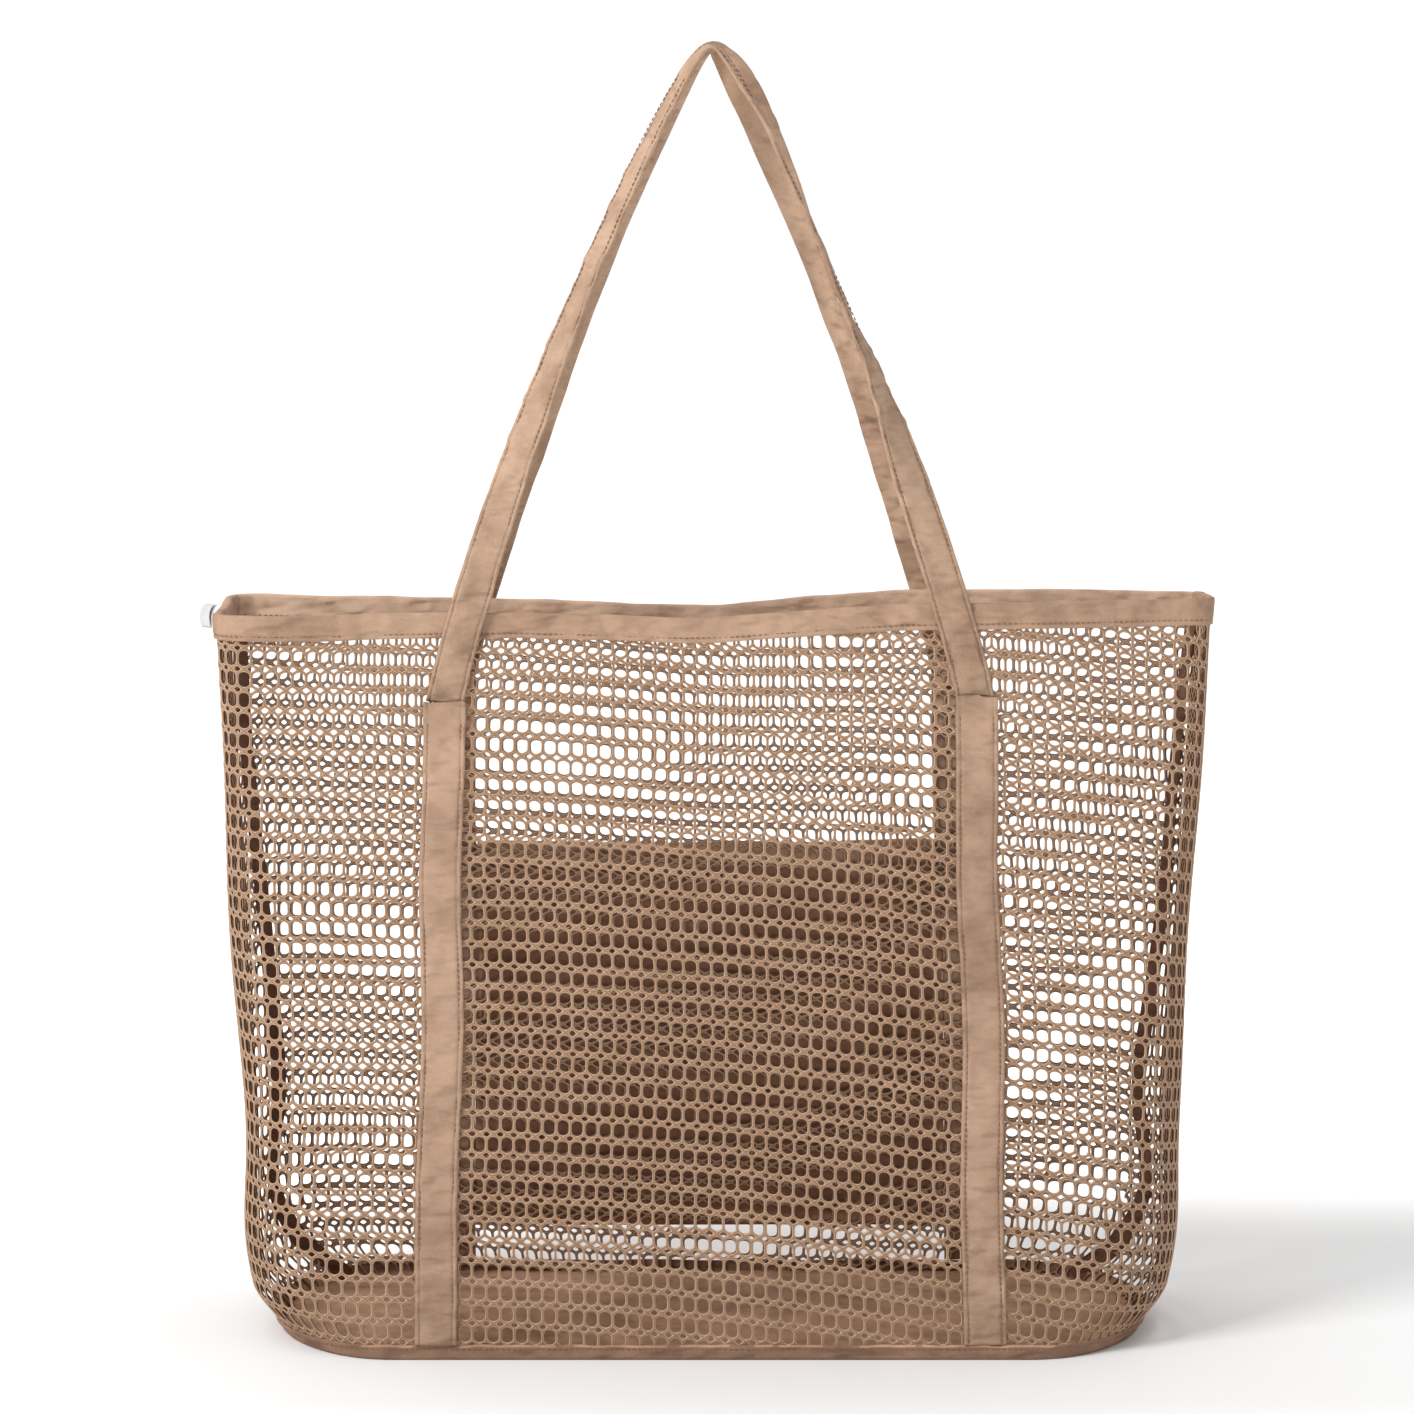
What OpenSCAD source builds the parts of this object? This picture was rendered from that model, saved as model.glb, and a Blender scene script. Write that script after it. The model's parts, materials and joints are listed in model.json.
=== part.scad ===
// Open-topped mesh beach tote: two mesh panels on a fabric base, bound round the rim,
// with four sewn-on straps, two swinging handles and a slip pocket outside the back.
// Millimetres, +Z up, front towards -Y, origin at the middle of the underside.

/* [Body] */
// Width of the bag across its open rim
rim_w = 476; // [440:5:520]
// Depth of the open rim from front to back
rim_d = 62; // [52:2:80]
// Width of the base
base_w = 430; // [390:5:470]
// Depth of the base from front to back
base_d = 150; // [130:5:170]
// Height of the rim above the ground
body_h = 355; // [320:5:380]
// Plan radius of the corners at the base
base_r = 66; // [40:2:72]
// Plan radius of the corners at the rim
rim_r = 12; // [8:1:20]

/* [Cloth] */
// Thickness of the knitted mesh
mesh_t = 1.2; // [0.8:0.1:2]
// Thickness of the plain woven cloth in the base, the pocket and the rim tape
cloth_t = 1.2; // [0.8:0.1:1.6]
// Height of the tape folded over the rim
rim_tape_h = 12.5; // [9:0.5:18]
// Height of the base cloth turned up outside the mesh
base_lip_h = 7; // [5:0.5:12]
// Width of the tape sewn inside each side seam
seam_tape_w = 6; // [4:0.5:9]
// How far round the back corner each side seam lies, in degrees
seam_turn = 50; // [30:10:60]

/* [Straps and handles] */
// Width of the four straps sewn up the body
strap_w = 20; // [16:1:26]
// Thickness of the straps and the handles
strap_t = 2; // [1.5:0.1:3]
// Distance between the two strap centrelines at the top
strap_gap = 252; // [220:4:292]
// How much further apart the straps are at the bottom
strap_flare = 9; // [0:1:16]
// Distance from the rim down to the line where the handles fold
strap_drop = 46; // [40:2:70]
// Room for that fold between a strap's top and its handle
fold_room = 3.6; // [2.8:0.1:4]
// Width of the handles
handle_w = 18; // [14:1:22]
// Height of the top of the handles above the ground, as they are held up
handle_top = 616; // [580:4:660]
// Half the gap between the two handles at the top
handle_apart = 11; // [10.5:0.5:16]
// How far each handle is turned on itself at the top, in degrees
handle_twist = 68; // [0:2:72]

/* [Pocket and label] */
// Width of the pocket on the back, between the straps
pocket_w = 230; // [200:1:232]
// Height of the pocket's mouth above the ground
pocket_top = 229; // [180:1:260]
// Height of the pocket's lower edge above the ground
pocket_low = 26; // [12:1:40]
// Room in the pocket between its cloth and the back mesh
pocket_room = 3.2; // [2:0.2:3.8]
// Height of the hem along the pocket's mouth
hem_h = 13; // [9:1:18]
// Width of the blank label at the end of the rim
label_w = 8; // [5:1:12]
// Height of the blank label
label_h = 12; // [8:1:12]

/* [Hidden] */
gap = 0.05;
swing_gap = 0.4;
row_n = 10;
turn = 10;
row_h = body_h / row_n;
hinge_z = body_h - strap_drop;
anchor_x = strap_gap / 2;
tip_r = 5;
// The ways round each end of the front mesh, from its seam to the straight front
left_way = concat(
    [for (a = [180 - seam_turn:turn:180]) [a, -1, 1]],
    [for (a = [180:turn:270]) [a, -1, -1]]
);
right_way = concat(
    [for (a = [270:turn:360]) [a, 1, -1]],
    [for (a = [0:turn:seam_turn]) [a, 1, 1]]
);
// Places round the plan outline: direction the cloth faces, then which corner it turns about
front_way = concat(
    left_way,
    right_way
);
back_way = concat(
    [for (a = [seam_turn:turn:90]) [a, 1, 1]],
    [for (a = [90:turn:180 - seam_turn]) [a, -1, 1]]
);
tan_c = [0.77, 0.64, 0.52];
mesh_c = [0.76, 0.63, 0.5];
inner_c = [0.6, 0.47, 0.37];
label_c = [0.85, 0.84, 0.82];

function mix(a, b, k) = a + (b - a) * k;
function unit(v) = v / norm(v);
function ease(k) = k * k * (3 - 2 * k);

// A size that changes up the body, straight between the rows
function grow(z, low, high, power) =
    let (i = min(row_n - 1, max(0, floor(z / row_h))))
    mix(low, high, mix(pow(i / row_n, power), pow((i + 1) / row_n, power), z / row_h - i));
function half_w(z) = grow(z, base_w / 2, rim_w / 2, 0.65);
function half_d(z) = grow(z, base_d / 2, rim_d / 2, 1.1);
function round_r(z) = grow(z, min(base_r, base_d / 2 - 4), rim_r, 0.7);

// The row heights from z0 to z1, with the body's own rows between them
function rows(z0, z1) = concat(
    [z0],
    [for (i = [1:row_n - 1]) if (i * row_h > z0 + 1 && i * row_h < z1 - 1) i * row_h],
    [z1]
);

// A point of the body's surface at one place round it, pushed out by off
function spot(way, z, off) =
    let (r = round_r(z))
    [
        way[1] * (half_w(z) - r) + (r + off) * cos(way[0]),
        way[2] * (half_d(z) - r) + (r + off) * sin(way[0]),
        z
    ];

// A closed solid through a list of sections, each a ring of the same number of points.
// caps lists the faces that close the two ends, as numbers of the section's points.
module through(sections, caps) {
    n = len(sections[0]);
    m = len(sections);
    polyhedron(
        points = [for (s = sections) each s],
        faces = concat(
            [for (c = caps) c],
            [for (i = [0:m - 2]) for (j = [0:n - 1])
                each [
                    [i * n + j, (i + 1) * n + j, i * n + (j + 1) % n],
                    [i * n + (j + 1) % n, (i + 1) * n + j, (i + 1) * n + (j + 1) % n]
                ]],
            [for (c = caps) [for (k = [len(c) - 1:-1:0]) (m - 1) * n + c[k]]]
        )
    );
}

// A skin between two offsets from the body, from place to place and from row to row
module skin(ways, zs, inner, outer) {
    n = len(zs);
    through(
        [for (w = ways) concat(
            [for (z = zs) spot(w, z, inner)],
            [for (i = [n - 1:-1:0]) spot(w, zs[i], outer)]
        )],
        [for (i = [0:n - 2]) [i, i + 1, 2 * n - 2 - i, 2 * n - 1 - i]]
    );
}

// The rim tape, folded over the mesh's upper edge
module rim_tape(ways) {
    low = body_h - rim_tape_h;
    top = body_h - cloth_t;
    outer = gap + cloth_t;
    inner = -mesh_t - gap - cloth_t;
    through(
        [for (w = ways) [
            spot(w, top, gap),
            spot(w, top, -mesh_t - gap),
            spot(w, low, -mesh_t - gap),
            spot(w, low, inner),
            spot(w, body_h - 0.5, inner),
            spot(w, body_h, inner + 0.5),
            spot(w, body_h, outer - 0.5),
            spot(w, body_h - 0.5, outer),
            spot(w, low, outer),
            spot(w, low, gap)
        ]],
        [[7, 8, 9, 0], [6, 7, 0], [5, 6, 0, 1], [4, 5, 1], [1, 2, 3, 4]]
    );
}

module mesh_front() {
    color(mesh_c) skin(front_way, rows(cloth_t + gap, body_h - cloth_t - gap), -mesh_t, 0);
}

module mesh_back() {
    color(mesh_c) skin(back_way, rows(cloth_t + gap, body_h - cloth_t - gap), -mesh_t, 0);
}

// One seam tape; side is -1 on the left and 1 on the right
module seam_tape(side) {
    zs = rows(cloth_t + 2, body_h - rim_tape_h - 0.5);
    n = len(zs);
    inner = -mesh_t - 0.5 - cloth_t;
    outer = -mesh_t - 0.5;
    steps = 4;
    // How far round the corner a tape edge lies from the seam at height z
    through(
        [for (k = [0:steps])
            let (
                ways = [for (z = zs)
                    let (a = seam_turn + (k / steps - 0.5) * seam_tape_w / round_r(z) * 180 / PI)
                    [side > 0 ? a : 180 - a, side, 1]]
            )
            concat(
                [for (i = [0:n - 1]) spot(ways[i], zs[i], side > 0 ? inner : outer)],
                [for (i = [n - 1:-1:0]) spot(ways[i], zs[i], side > 0 ? outer : inner)]
            )],
        [for (i = [0:n - 2]) [i, i + 1, 2 * n - 2 - i, 2 * n - 1 - i]]
    );
}

module seam_tape_left() {
    color(inner_c) seam_tape(-1);
}

module seam_tape_right() {
    color(inner_c) seam_tape(1);
}

module rim_binding_front() {
    color(tan_c) rim_tape([left_way[len(left_way) - 1], right_way[0]]);
}

module rim_binding_left() {
    color(tan_c) rim_tape(left_way);
}

module rim_binding_right() {
    color(tan_c) rim_tape(right_way);
}

module rim_binding_back() {
    color(tan_c) rim_tape(back_way);
}

// The base cloth's floor
module base_panel() {
    ways = concat(front_way, [for (i = [1:len(back_way) - 2]) back_way[i]]);
    n = len(ways);
    rings = [
        [for (w = ways) spot(w, 0, 0)],
        [for (w = ways) spot(w, cloth_t, 0)]
    ];
    color(tan_c)
        through(rings, [[for (j = [0:n - 1]) j]]);
}

// The base cloth's edge, turned up outside the mesh along one stretch of the outline
module base_edge(ways) {
    color(tan_c) skin(ways, [0, base_lip_h], gap, gap + cloth_t);
}

module base_edge_front() {
    base_edge([left_way[len(left_way) - 1], right_way[0]]);
}

module base_edge_left() {
    base_edge(left_way);
}

module base_edge_right() {
    base_edge(right_way);
}

module base_edge_back() {
    base_edge(back_way);
}

// One strap sewn up the body; side is -1 left or 1 right, face is -1 front or 1 back
module strap(side, face) {
    zs = rows(base_lip_h + 0.3, hinge_z - fold_room);
    n = len(zs);
    function edge(z, s, off) = [
        side * (anchor_x + strap_flare / 2 * (1 - z / hinge_z)) - face * s * strap_w / 2,
        face * (half_d(z) + off),
        z
    ];
    through(
        [for (s = [-1, 1]) concat(
            [for (z = zs) edge(z, s, gap)],
            [for (i = [n - 1:-1:0]) edge(zs[i], s, gap + strap_t)]
        )],
        [for (i = [0:n - 2]) [i, i + 1, 2 * n - 2 - i, 2 * n - 1 - i]]
    );
}

module strap_front_left() {
    color(tan_c) strap(-1, -1);
}

module strap_front_right() {
    color(tan_c) strap(1, -1);
}

module strap_back_left() {
    color(tan_c) strap(-1, 1);
}

module strap_back_right() {
    color(tan_c) strap(1, 1);
}

// The handle's centreline: v runs from -1 at its left end over the top to 1 at its right end
hinge_y = half_d(hinge_z) + gap + strap_t / 2 + swing_gap;
function arch(x) =
    pow(max(0, 1 - pow(norm([x, tip_r]) / norm([anchor_x, tip_r]), 1.176)), 0.87);
function line(v) =
    let (
        x = anchor_x * sign(v) * pow(abs(v), 1.4),
        k = arch(x) / arch(0)
    )
    [x, -mix(hinge_y, handle_apart, k), mix(hinge_z + 0.2, handle_top - strap_t / 2, k)];

// The four corners of the handle's section at v
function band(v) =
    let (
        p = line(v),
        t = unit(line(min(1, v + 0.01)) - line(max(-1, v - 0.01))),
        flat = unit([t[2], 0, -t[0]] * (1 - pow(abs(v), 16)) + [-sign(v), 0, 0] * pow(abs(v), 16)),
        turned = handle_twist * ease(1 - abs(v)),
        out = unit(cross(t, flat)),
        across = flat * cos(turned) + out * sin(turned),
        thick = abs(v) > 0.999 ? [0, 1, 0] : unit(cross(t, across))
    )
    [for (c = [[-1, -1], [1, -1], [1, 1], [-1, 1]])
        p + across * c[0] * handle_w / 2 + thick * c[1] * strap_t / 2];

// A handle; the back one is the front one turned round
module handle() {
    steps = 36;
    through([for (i = [-steps:steps]) band(i / steps)], [[0, 1, 2, 3]]);
}

module handle_front() {
    color(tan_c) handle();
}

module handle_back() {
    color(tan_c) rotate([0, 0, 180]) handle();
}

// A flat piece of cloth along the back wall, between two offsets inward
module lining(x0, x1, z0, z1, near, far) {
    zs = rows(z0, z1);
    n = len(zs);
    through(
        [for (x = [x1, x0]) concat(
            [for (z = zs) [x, half_d(z) - far, z]],
            [for (i = [n - 1:-1:0]) [x, half_d(zs[i]) - near, zs[i]]]
        )],
        [for (i = [0:n - 2]) [i, i + 1, 2 * n - 2 - i, 2 * n - 1 - i]]
    );
}

// The pocket: a cloth panel held off the outside of the back mesh by its sewn edges
module pocket_panel() {
    face = gap + pocket_room;
    top = pocket_top - cloth_t - gap;
    color(inner_c) {
        lining(-pocket_w / 2, pocket_w / 2, pocket_low, top, -face - cloth_t, -face);
        lining(-pocket_w / 2, pocket_w / 2, pocket_low, pocket_low + cloth_t, -face - 0.5, -gap);
        for (side = [-1, 1])
            lining(
                side * (pocket_w / 2 - cloth_t / 2) - cloth_t / 2,
                side * (pocket_w / 2 - cloth_t / 2) + cloth_t / 2,
                pocket_low, top, -face - 0.5, -gap
            );
    }
}

// The hem folded over the pocket's upper edge
module pocket_hem() {
    face = gap + pocket_room;
    outer = face + 2 * cloth_t + gap;
    inner = face - gap - 0.8;
    x = pocket_w / 2 - cloth_t - 0.3;
    low = pocket_top - hem_h;
    color(tan_c) {
        lining(-x, x, low, pocket_top, -outer, -face - cloth_t - gap);
        lining(-x, x, low, pocket_top, -face + gap, -inner);
        lining(-x, x, pocket_top - cloth_t, pocket_top, -outer, -inner);
    }
}

// A blank folded label standing out from the left end of the rim
module side_label() {
    x = half_w(body_h) + cloth_t + 2 * gap;
    color(label_c)
        translate([-x - label_w, -rim_d / 2 + rim_r + 2, body_h - label_h])
            cube([label_w, 1, label_h]);
}

mesh_front();
mesh_back();
seam_tape_left();
seam_tape_right();
rim_binding_front();
rim_binding_left();
rim_binding_right();
rim_binding_back();
base_panel();
base_edge_front();
base_edge_left();
base_edge_right();
base_edge_back();
strap_front_left();
strap_front_right();
strap_back_left();
strap_back_right();
handle_front();
handle_back();
pocket_panel();
pocket_hem();
side_label();
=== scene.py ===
"""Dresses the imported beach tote.

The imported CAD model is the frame. Every cloth piece of the bag is modelled here around it: the open knit of the
two body panels, the tape round the rim, the base, the sewn straps with their folded ends, the two handles, the
pocket outside the back, the seam tapes, the label and every row of stitches. Lengths are in metres.
"""

import json
import logging
import math
from dataclasses import dataclass, field
from enum import Enum

import bmesh
import bpy
import numpy as np
from mathutils import Matrix, Vector

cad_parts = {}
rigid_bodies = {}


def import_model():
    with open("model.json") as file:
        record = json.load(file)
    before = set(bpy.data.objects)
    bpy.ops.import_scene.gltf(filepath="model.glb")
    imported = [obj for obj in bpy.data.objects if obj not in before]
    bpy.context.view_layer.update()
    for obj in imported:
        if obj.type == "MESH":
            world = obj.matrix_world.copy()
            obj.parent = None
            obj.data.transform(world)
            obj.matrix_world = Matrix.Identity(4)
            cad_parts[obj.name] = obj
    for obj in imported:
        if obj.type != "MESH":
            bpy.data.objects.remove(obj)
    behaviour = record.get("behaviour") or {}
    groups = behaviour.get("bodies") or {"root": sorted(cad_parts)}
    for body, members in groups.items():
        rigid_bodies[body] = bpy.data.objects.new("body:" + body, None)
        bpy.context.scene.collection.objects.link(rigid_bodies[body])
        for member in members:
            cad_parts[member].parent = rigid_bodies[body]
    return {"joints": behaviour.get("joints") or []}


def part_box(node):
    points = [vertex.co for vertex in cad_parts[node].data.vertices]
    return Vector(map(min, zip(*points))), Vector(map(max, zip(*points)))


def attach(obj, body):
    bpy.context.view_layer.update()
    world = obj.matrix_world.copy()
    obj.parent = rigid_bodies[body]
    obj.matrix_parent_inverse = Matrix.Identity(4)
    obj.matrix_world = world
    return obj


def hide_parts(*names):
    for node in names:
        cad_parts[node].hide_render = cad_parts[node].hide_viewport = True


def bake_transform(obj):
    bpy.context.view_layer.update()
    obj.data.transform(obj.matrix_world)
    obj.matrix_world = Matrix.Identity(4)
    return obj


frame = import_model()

log = logging.getLogger("tote")
Array = np.ndarray
MM = 0.001
ROOT = "bag"


def ease(t: Array) -> Array:
    """Smooth step of t, held to 0 and 1 outside them."""
    t = np.clip(t, 0.0, 1.0)
    return t * t * (3.0 - 2.0 * t)


def bell(t: Array) -> Array:
    """A smooth bump, 1 at t 0 and near 0 past 2."""
    return np.exp(-t * t)


def unit(v: Array) -> Array:
    """Vectors along the last axis, made one long."""
    return v / np.maximum(np.linalg.norm(v, axis=-1, keepdims=True), 1e-12)


@dataclass(frozen=True)
class Ripple:
    """Smooth random unevenness of cloth over a surface, the same each run.

    seed picks the pattern; cell_u and cell_v are its grain along the two directions, in metres.
    """

    seed: int
    cell_u: float
    cell_v: float

    def at(self, u: Array, v: Array) -> Array:
        """Height from about -1 to 1.

        Args:
            u: place along the first direction.
            v: place along the second direction.

        Returns:
            One height for each place.
        """
        size = 97
        table = np.random.default_rng(self.seed).uniform(-1, 1, (size, size))
        u, v = np.broadcast_arrays(np.asarray(u) / self.cell_u, np.asarray(v) / self.cell_v)
        i, j = np.floor(u).astype(int), np.floor(v).astype(int)
        a, b = ease(u - i), ease(v - j)
        low = table[i % size, j % size] * (1 - a) + table[(i + 1) % size, j % size] * a
        high = table[i % size, (j + 1) % size] * (1 - a) + table[(i + 1) % size, (j + 1) % size] * a
        return low * (1 - b) + high * b


# ---------------------------------------------------------------- the bag's shape


@dataclass(frozen=True)
class BagShape:
    """The cloth body's surface: a rounded oblong base drawn up to a narrow open rim.

    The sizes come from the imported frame. A place on it is f, how far round from the middle of the front (0) to
    the middle of the back (1 by the right side, -1 by the left), and z, the height.
    """

    rim_w: float
    rim_d: float
    base_w: float
    base_d: float
    height: float
    base_r: float = 66 * MM
    rim_r: float = 12 * MM
    cloth: float = 1.25 * MM

    @classmethod
    def from_frame(cls) -> "BagShape":
        """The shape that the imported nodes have."""
        front_low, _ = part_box("base_edge_front")
        left_low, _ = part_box("base_edge_left")
        _, right_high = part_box("base_edge_right")
        _, rear_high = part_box("base_edge_back")
        rim_low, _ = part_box("rim_binding_left")
        _, rim_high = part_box("rim_binding_right")
        _, back_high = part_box("rim_binding_back")
        return cls(
            rim_w=rim_high.x - rim_low.x - 2 * cls.cloth,
            rim_d=back_high.y - rim_low.y - 2 * cls.cloth,
            base_w=right_high.x - left_low.x - 2 * cls.cloth,
            base_d=rear_high.y - front_low.y - 2 * cls.cloth,
            height=rim_high.z,
        )

    def _grow(self, z: Array, low: float, high: float, power: float) -> Array:
        """A size that goes from low at the base to high at the rim."""
        return low + (high - low) * np.clip(z / self.height, 0.0, 1.0) ** power

    def half_w(self, z: Array) -> Array:
        """Half the width at height z."""
        return self._grow(z, self.base_w / 2, self.rim_w / 2, 0.65)

    def half_d(self, z: Array) -> Array:
        """Half the depth at height z."""
        return self._grow(z, self.base_d / 2, self.rim_d / 2, 1.1)

    def round_r(self, z: Array) -> Array:
        """The corners' plan radius at height z."""
        return self._grow(z, self.base_r, self.rim_r, 0.7)

    def half_way(self, z: Array) -> Array:
        """The length round the bag from the middle of the front to the middle of the back."""
        a, b, r = self.half_w(z), self.half_d(z), self.round_r(z)
        return 2 * (a - r) + 2 * (b - r) + math.pi * r

    def way_at(self, z: float) -> float:
        """That length at one height, as a plain number."""
        return float(self.half_way(np.array(z)))

    def settle(self, p: Array) -> Array:
        """How standing cloth leaves the drawn shape: the rim dips and pinches and the walls wander.

        Args:
            p: points on or near the bag, in the last axis.

        Returns:
            The points moved.
        """
        x, y, z = p[..., 0], p[..., 1], p[..., 2]
        up = np.clip(z / self.height, 0.0, 1.02)
        w = up**3
        along = x / (self.rim_w / 2)
        dip = 3.0 * np.tanh(2.2 * along) - 0.4 - 5.0 * bell(along / 0.25) - 1.2 * bell((along + 0.8) / 0.15)
        pinch = (
            0.20 * ease((-along - 0.6) / 0.4)
            - 0.45 * ease((along - 0.62) / 0.38)
            - 0.10 * bell(along / 0.35)
        )
        mid = np.sin(np.pi * np.clip(up, 0, 1))
        broad = 1.8 * np.sin(2 * np.pi * (x / 0.31 + z / 0.45) + 0.6)
        narrow = 1.1 * np.sin(2 * np.pi * (x / 0.17 - z / 0.3))
        wander = mid * (broad + narrow)
        side = np.tanh(y / 0.03)
        keep = 1 - 0.85 * bell((np.abs(x) - 0.128) / 0.03) * ease((up - 0.6) / 0.25)
        rear = ease(y / 0.02)
        raised = 3.0 * rear * ease((-along - 0.35) / 0.5)
        drawn = 2.4 * w * ease((np.abs(along) - 0.6) / 0.4)
        out = np.array(p, float)
        out[..., 2] = z + w * (dip + raised) * MM
        out[..., 1] = y * (1 + w * pinch) + side * wander * keep * MM
        out[..., 0] = x + (mid * 1.2 * np.sin(2 * np.pi * z / 0.21 + y / 0.02) * keep + drawn) * MM
        tuck = 5.0 * bell((z - 0.045) / 0.04) - 9.0 * (1 - ease(z / 0.024))
        out[..., 0] += self.slip(x, y, z) + np.sign(x) * ease((np.abs(x) - 0.14) / 0.07) * tuck * MM
        return out

    def slip(self, x: Array, y: Array, z: Array) -> Array:
        """How far the back's right half has slipped towards the middle near the rim."""
        return -6.5 * MM * ease(y / 0.02) * bell((x - 0.125) / 0.09) * ease((z - 0.06) / 0.24)

    def place(self, f: Array, z: Array, off: Array) -> Array:
        """Points of the surface.

        Args:
            f: how far round each one is.
            z: its height.
            off: how far out from the cloth's outer face it stands.

        Returns:
            Points in the last axis.
        """
        f, z, off = np.broadcast_arrays(*(np.asarray(v, float) for v in (f, z, off)))
        f = (f + 1) % 2 - 1
        a, b, r = self.half_w(z), self.half_d(z), self.round_r(z)
        s = np.abs(f) * self.half_way(z)
        quarter = math.pi * r / 2
        s1 = a - r
        s2 = s1 + quarter
        s3 = s2 + 2 * (b - r)
        s4 = s3 + quarter
        t1, t2 = (s - s1) / r, (s - s3) / r
        parts = [s < s1, s < s2, s < s3, s < s4]
        nx = np.select(parts, [0 * s, np.sin(t1), 1 + 0 * s, np.cos(t2)], 0.0)
        ny = np.select(parts, [-1 + 0 * s, -np.cos(t1), 0 * s, np.sin(t2)], 1.0)
        x = np.select(parts, [s, s1 + r * np.sin(t1), a, s1 + r * np.cos(t2)], s1 - (s - s4))
        y = np.select(parts, [-b, -(b - r) - r * np.cos(t1), s - s2 - (b - r), b - r + r * np.sin(t2)], b)
        lean = 0.125 * np.abs(ny) - 0.07 * np.abs(nx)
        flip = np.where(f < 0, -1.0, 1.0)
        n = unit(np.stack([nx * flip, ny, lean], axis=-1))
        return self.settle(np.stack([x * flip, y, z + 0 * s], axis=-1) + n * off[..., None])

    def front(self, x: Array, z: Array, off: Array) -> Array:
        """Points of the front wall, x to the right of its middle."""
        return self.place(np.asarray(x) / self.half_way(np.asarray(z)), z, off)

    def back(self, x: Array, z: Array, off: Array) -> Array:
        """Points of the back wall, x to the right of its middle as seen from the front."""
        x = np.asarray(x, float)
        return self.place(np.where(x < 0, -1.0, 1.0) * (1 - np.abs(x) / self.half_way(np.asarray(z))), z, off)

    def seam(self, z: Array) -> Array:
        """The length round the bag from the middle of the front to a side seam."""
        return self._grow(z, 334 * MM, 293.5 * MM, 1.0)


# ---------------------------------------------------------------- shader nodes


@dataclass(frozen=True)
class Val:
    """A number coming out of a node; arithmetic on it adds Math nodes."""

    tree: "Shader"
    socket: object

    def _math(self, operation: str, *others: object) -> "Val":
        """A Math node on this value and others."""
        values = dict(enumerate([self, *others]))
        return self.tree.node("ShaderNodeMath", {"operation": operation}, values).out()

    def __add__(self, other: object) -> "Val":
        """Sum."""
        return self._math("ADD", other)

    __radd__ = __add__

    def __mul__(self, other: object) -> "Val":
        """Product."""
        return self._math("MULTIPLY", other)

    __rmul__ = __mul__

    def __sub__(self, other: object) -> "Val":
        """Difference."""
        return self._math("SUBTRACT", other)

    def __pow__(self, other: float) -> "Val":
        """Power."""
        return self._math("POWER", other)

    def sin(self) -> "Val":
        """Sine."""
        return self._math("SINE")

    def abs(self) -> "Val":
        """Size without sign."""
        return self._math("ABSOLUTE")

    def band(self, low: float, high: float) -> "Val":
        """0 at low and 1 at high, held outside them."""
        settings = {"clamp": True, "interpolation_type": "SMOOTHSTEP"}
        return self.tree.node("ShaderNodeMapRange", settings, {0: self, 1: low, 2: high}).out()


@dataclass(frozen=True)
class Made:
    """A node just made."""

    tree: "Shader"
    node: object

    def out(self, name: object = 0) -> Val:
        """One of its outputs."""
        return Val(self.tree, self.node.outputs[name])


class Shader:
    """A material's node tree, emptied and ready to build."""

    def __init__(self, name: str) -> None:
        """A new material of that name."""
        self.material = bpy.data.materials.new(name)
        self.material.use_nodes = True
        self.nodes = self.material.node_tree.nodes
        self.links = self.material.node_tree.links
        self.nodes.clear()

    def node(self, kind: str, settings: dict | None = None, inputs: dict | None = None) -> Made:
        """Adds a node.

        Args:
            kind: Blender's name for the node's type.
            settings: its properties.
            inputs: a value or a Val for each input, by name or number.

        Returns:
            The node, ready to read outputs from.
        """
        made = self.nodes.new(kind)
        for key, value in (settings or {}).items():
            setattr(made, key, value)
        for key, value in (inputs or {}).items():
            if isinstance(value, Val):
                self.links.new(value.socket, made.inputs[key])
            else:
                made.inputs[key].default_value = value
        return Made(self, made)

    def mix(self, share: Val, a: object, b: object) -> Val:
        """A colour between a and b."""
        settings = {"data_type": "RGBA", "blend_type": "MIX"}
        return self.node("ShaderNodeMix", settings, {0: share, 6: a, 7: b}).out(2)

    def noise(self, where: Val, scale: float, detail: float = 2.0, rough: float = 0.5) -> Val:
        """Smooth noise from 0 to 1."""
        inputs = {"Vector": where, "Scale": scale, "Detail": detail, "Roughness": rough}
        return self.node("ShaderNodeTexNoise", {}, inputs).out(0)

    def finish(
        self, colour: object, roughness: object, height: Val, depth: float, under: Val | None = None, **fixed: float
    ) -> None:
        """Closes the tree with a cloth surface.

        Args:
            colour: base colour.
            roughness: surface roughness.
            height: relief, from 0 to 1.
            depth: how deep the relief is, in metres.
            under: a broader relief under it, as a normal.
            fixed: other inputs of the surface, with spaces as underscores.
        """
        relief = {"Height": height, "Distance": depth, "Strength": 1.0} | ({"Normal": under} if under else {})
        bump = self.node("ShaderNodeBump", {}, relief)
        inputs = {"Base Color": colour, "Roughness": roughness, "Normal": bump.out()}
        inputs.update({key.replace("_", " "): value for key, value in fixed.items()})
        surface = self.node("ShaderNodeBsdfPrincipled", {}, inputs)
        self.node("ShaderNodeOutputMaterial", {}, {"Surface": surface.out()})


def colour(red: float, green: float, blue: float) -> tuple[float, float, float, float]:
    """A linear colour from display values of 0 to 255."""

    def linear(c: float) -> float:
        """One channel."""
        c /= 255
        return c / 12.92 if c <= 0.04045 else ((c + 0.055) / 1.055) ** 2.4

    return (linear(red), linear(green), linear(blue), 1.0)


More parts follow.
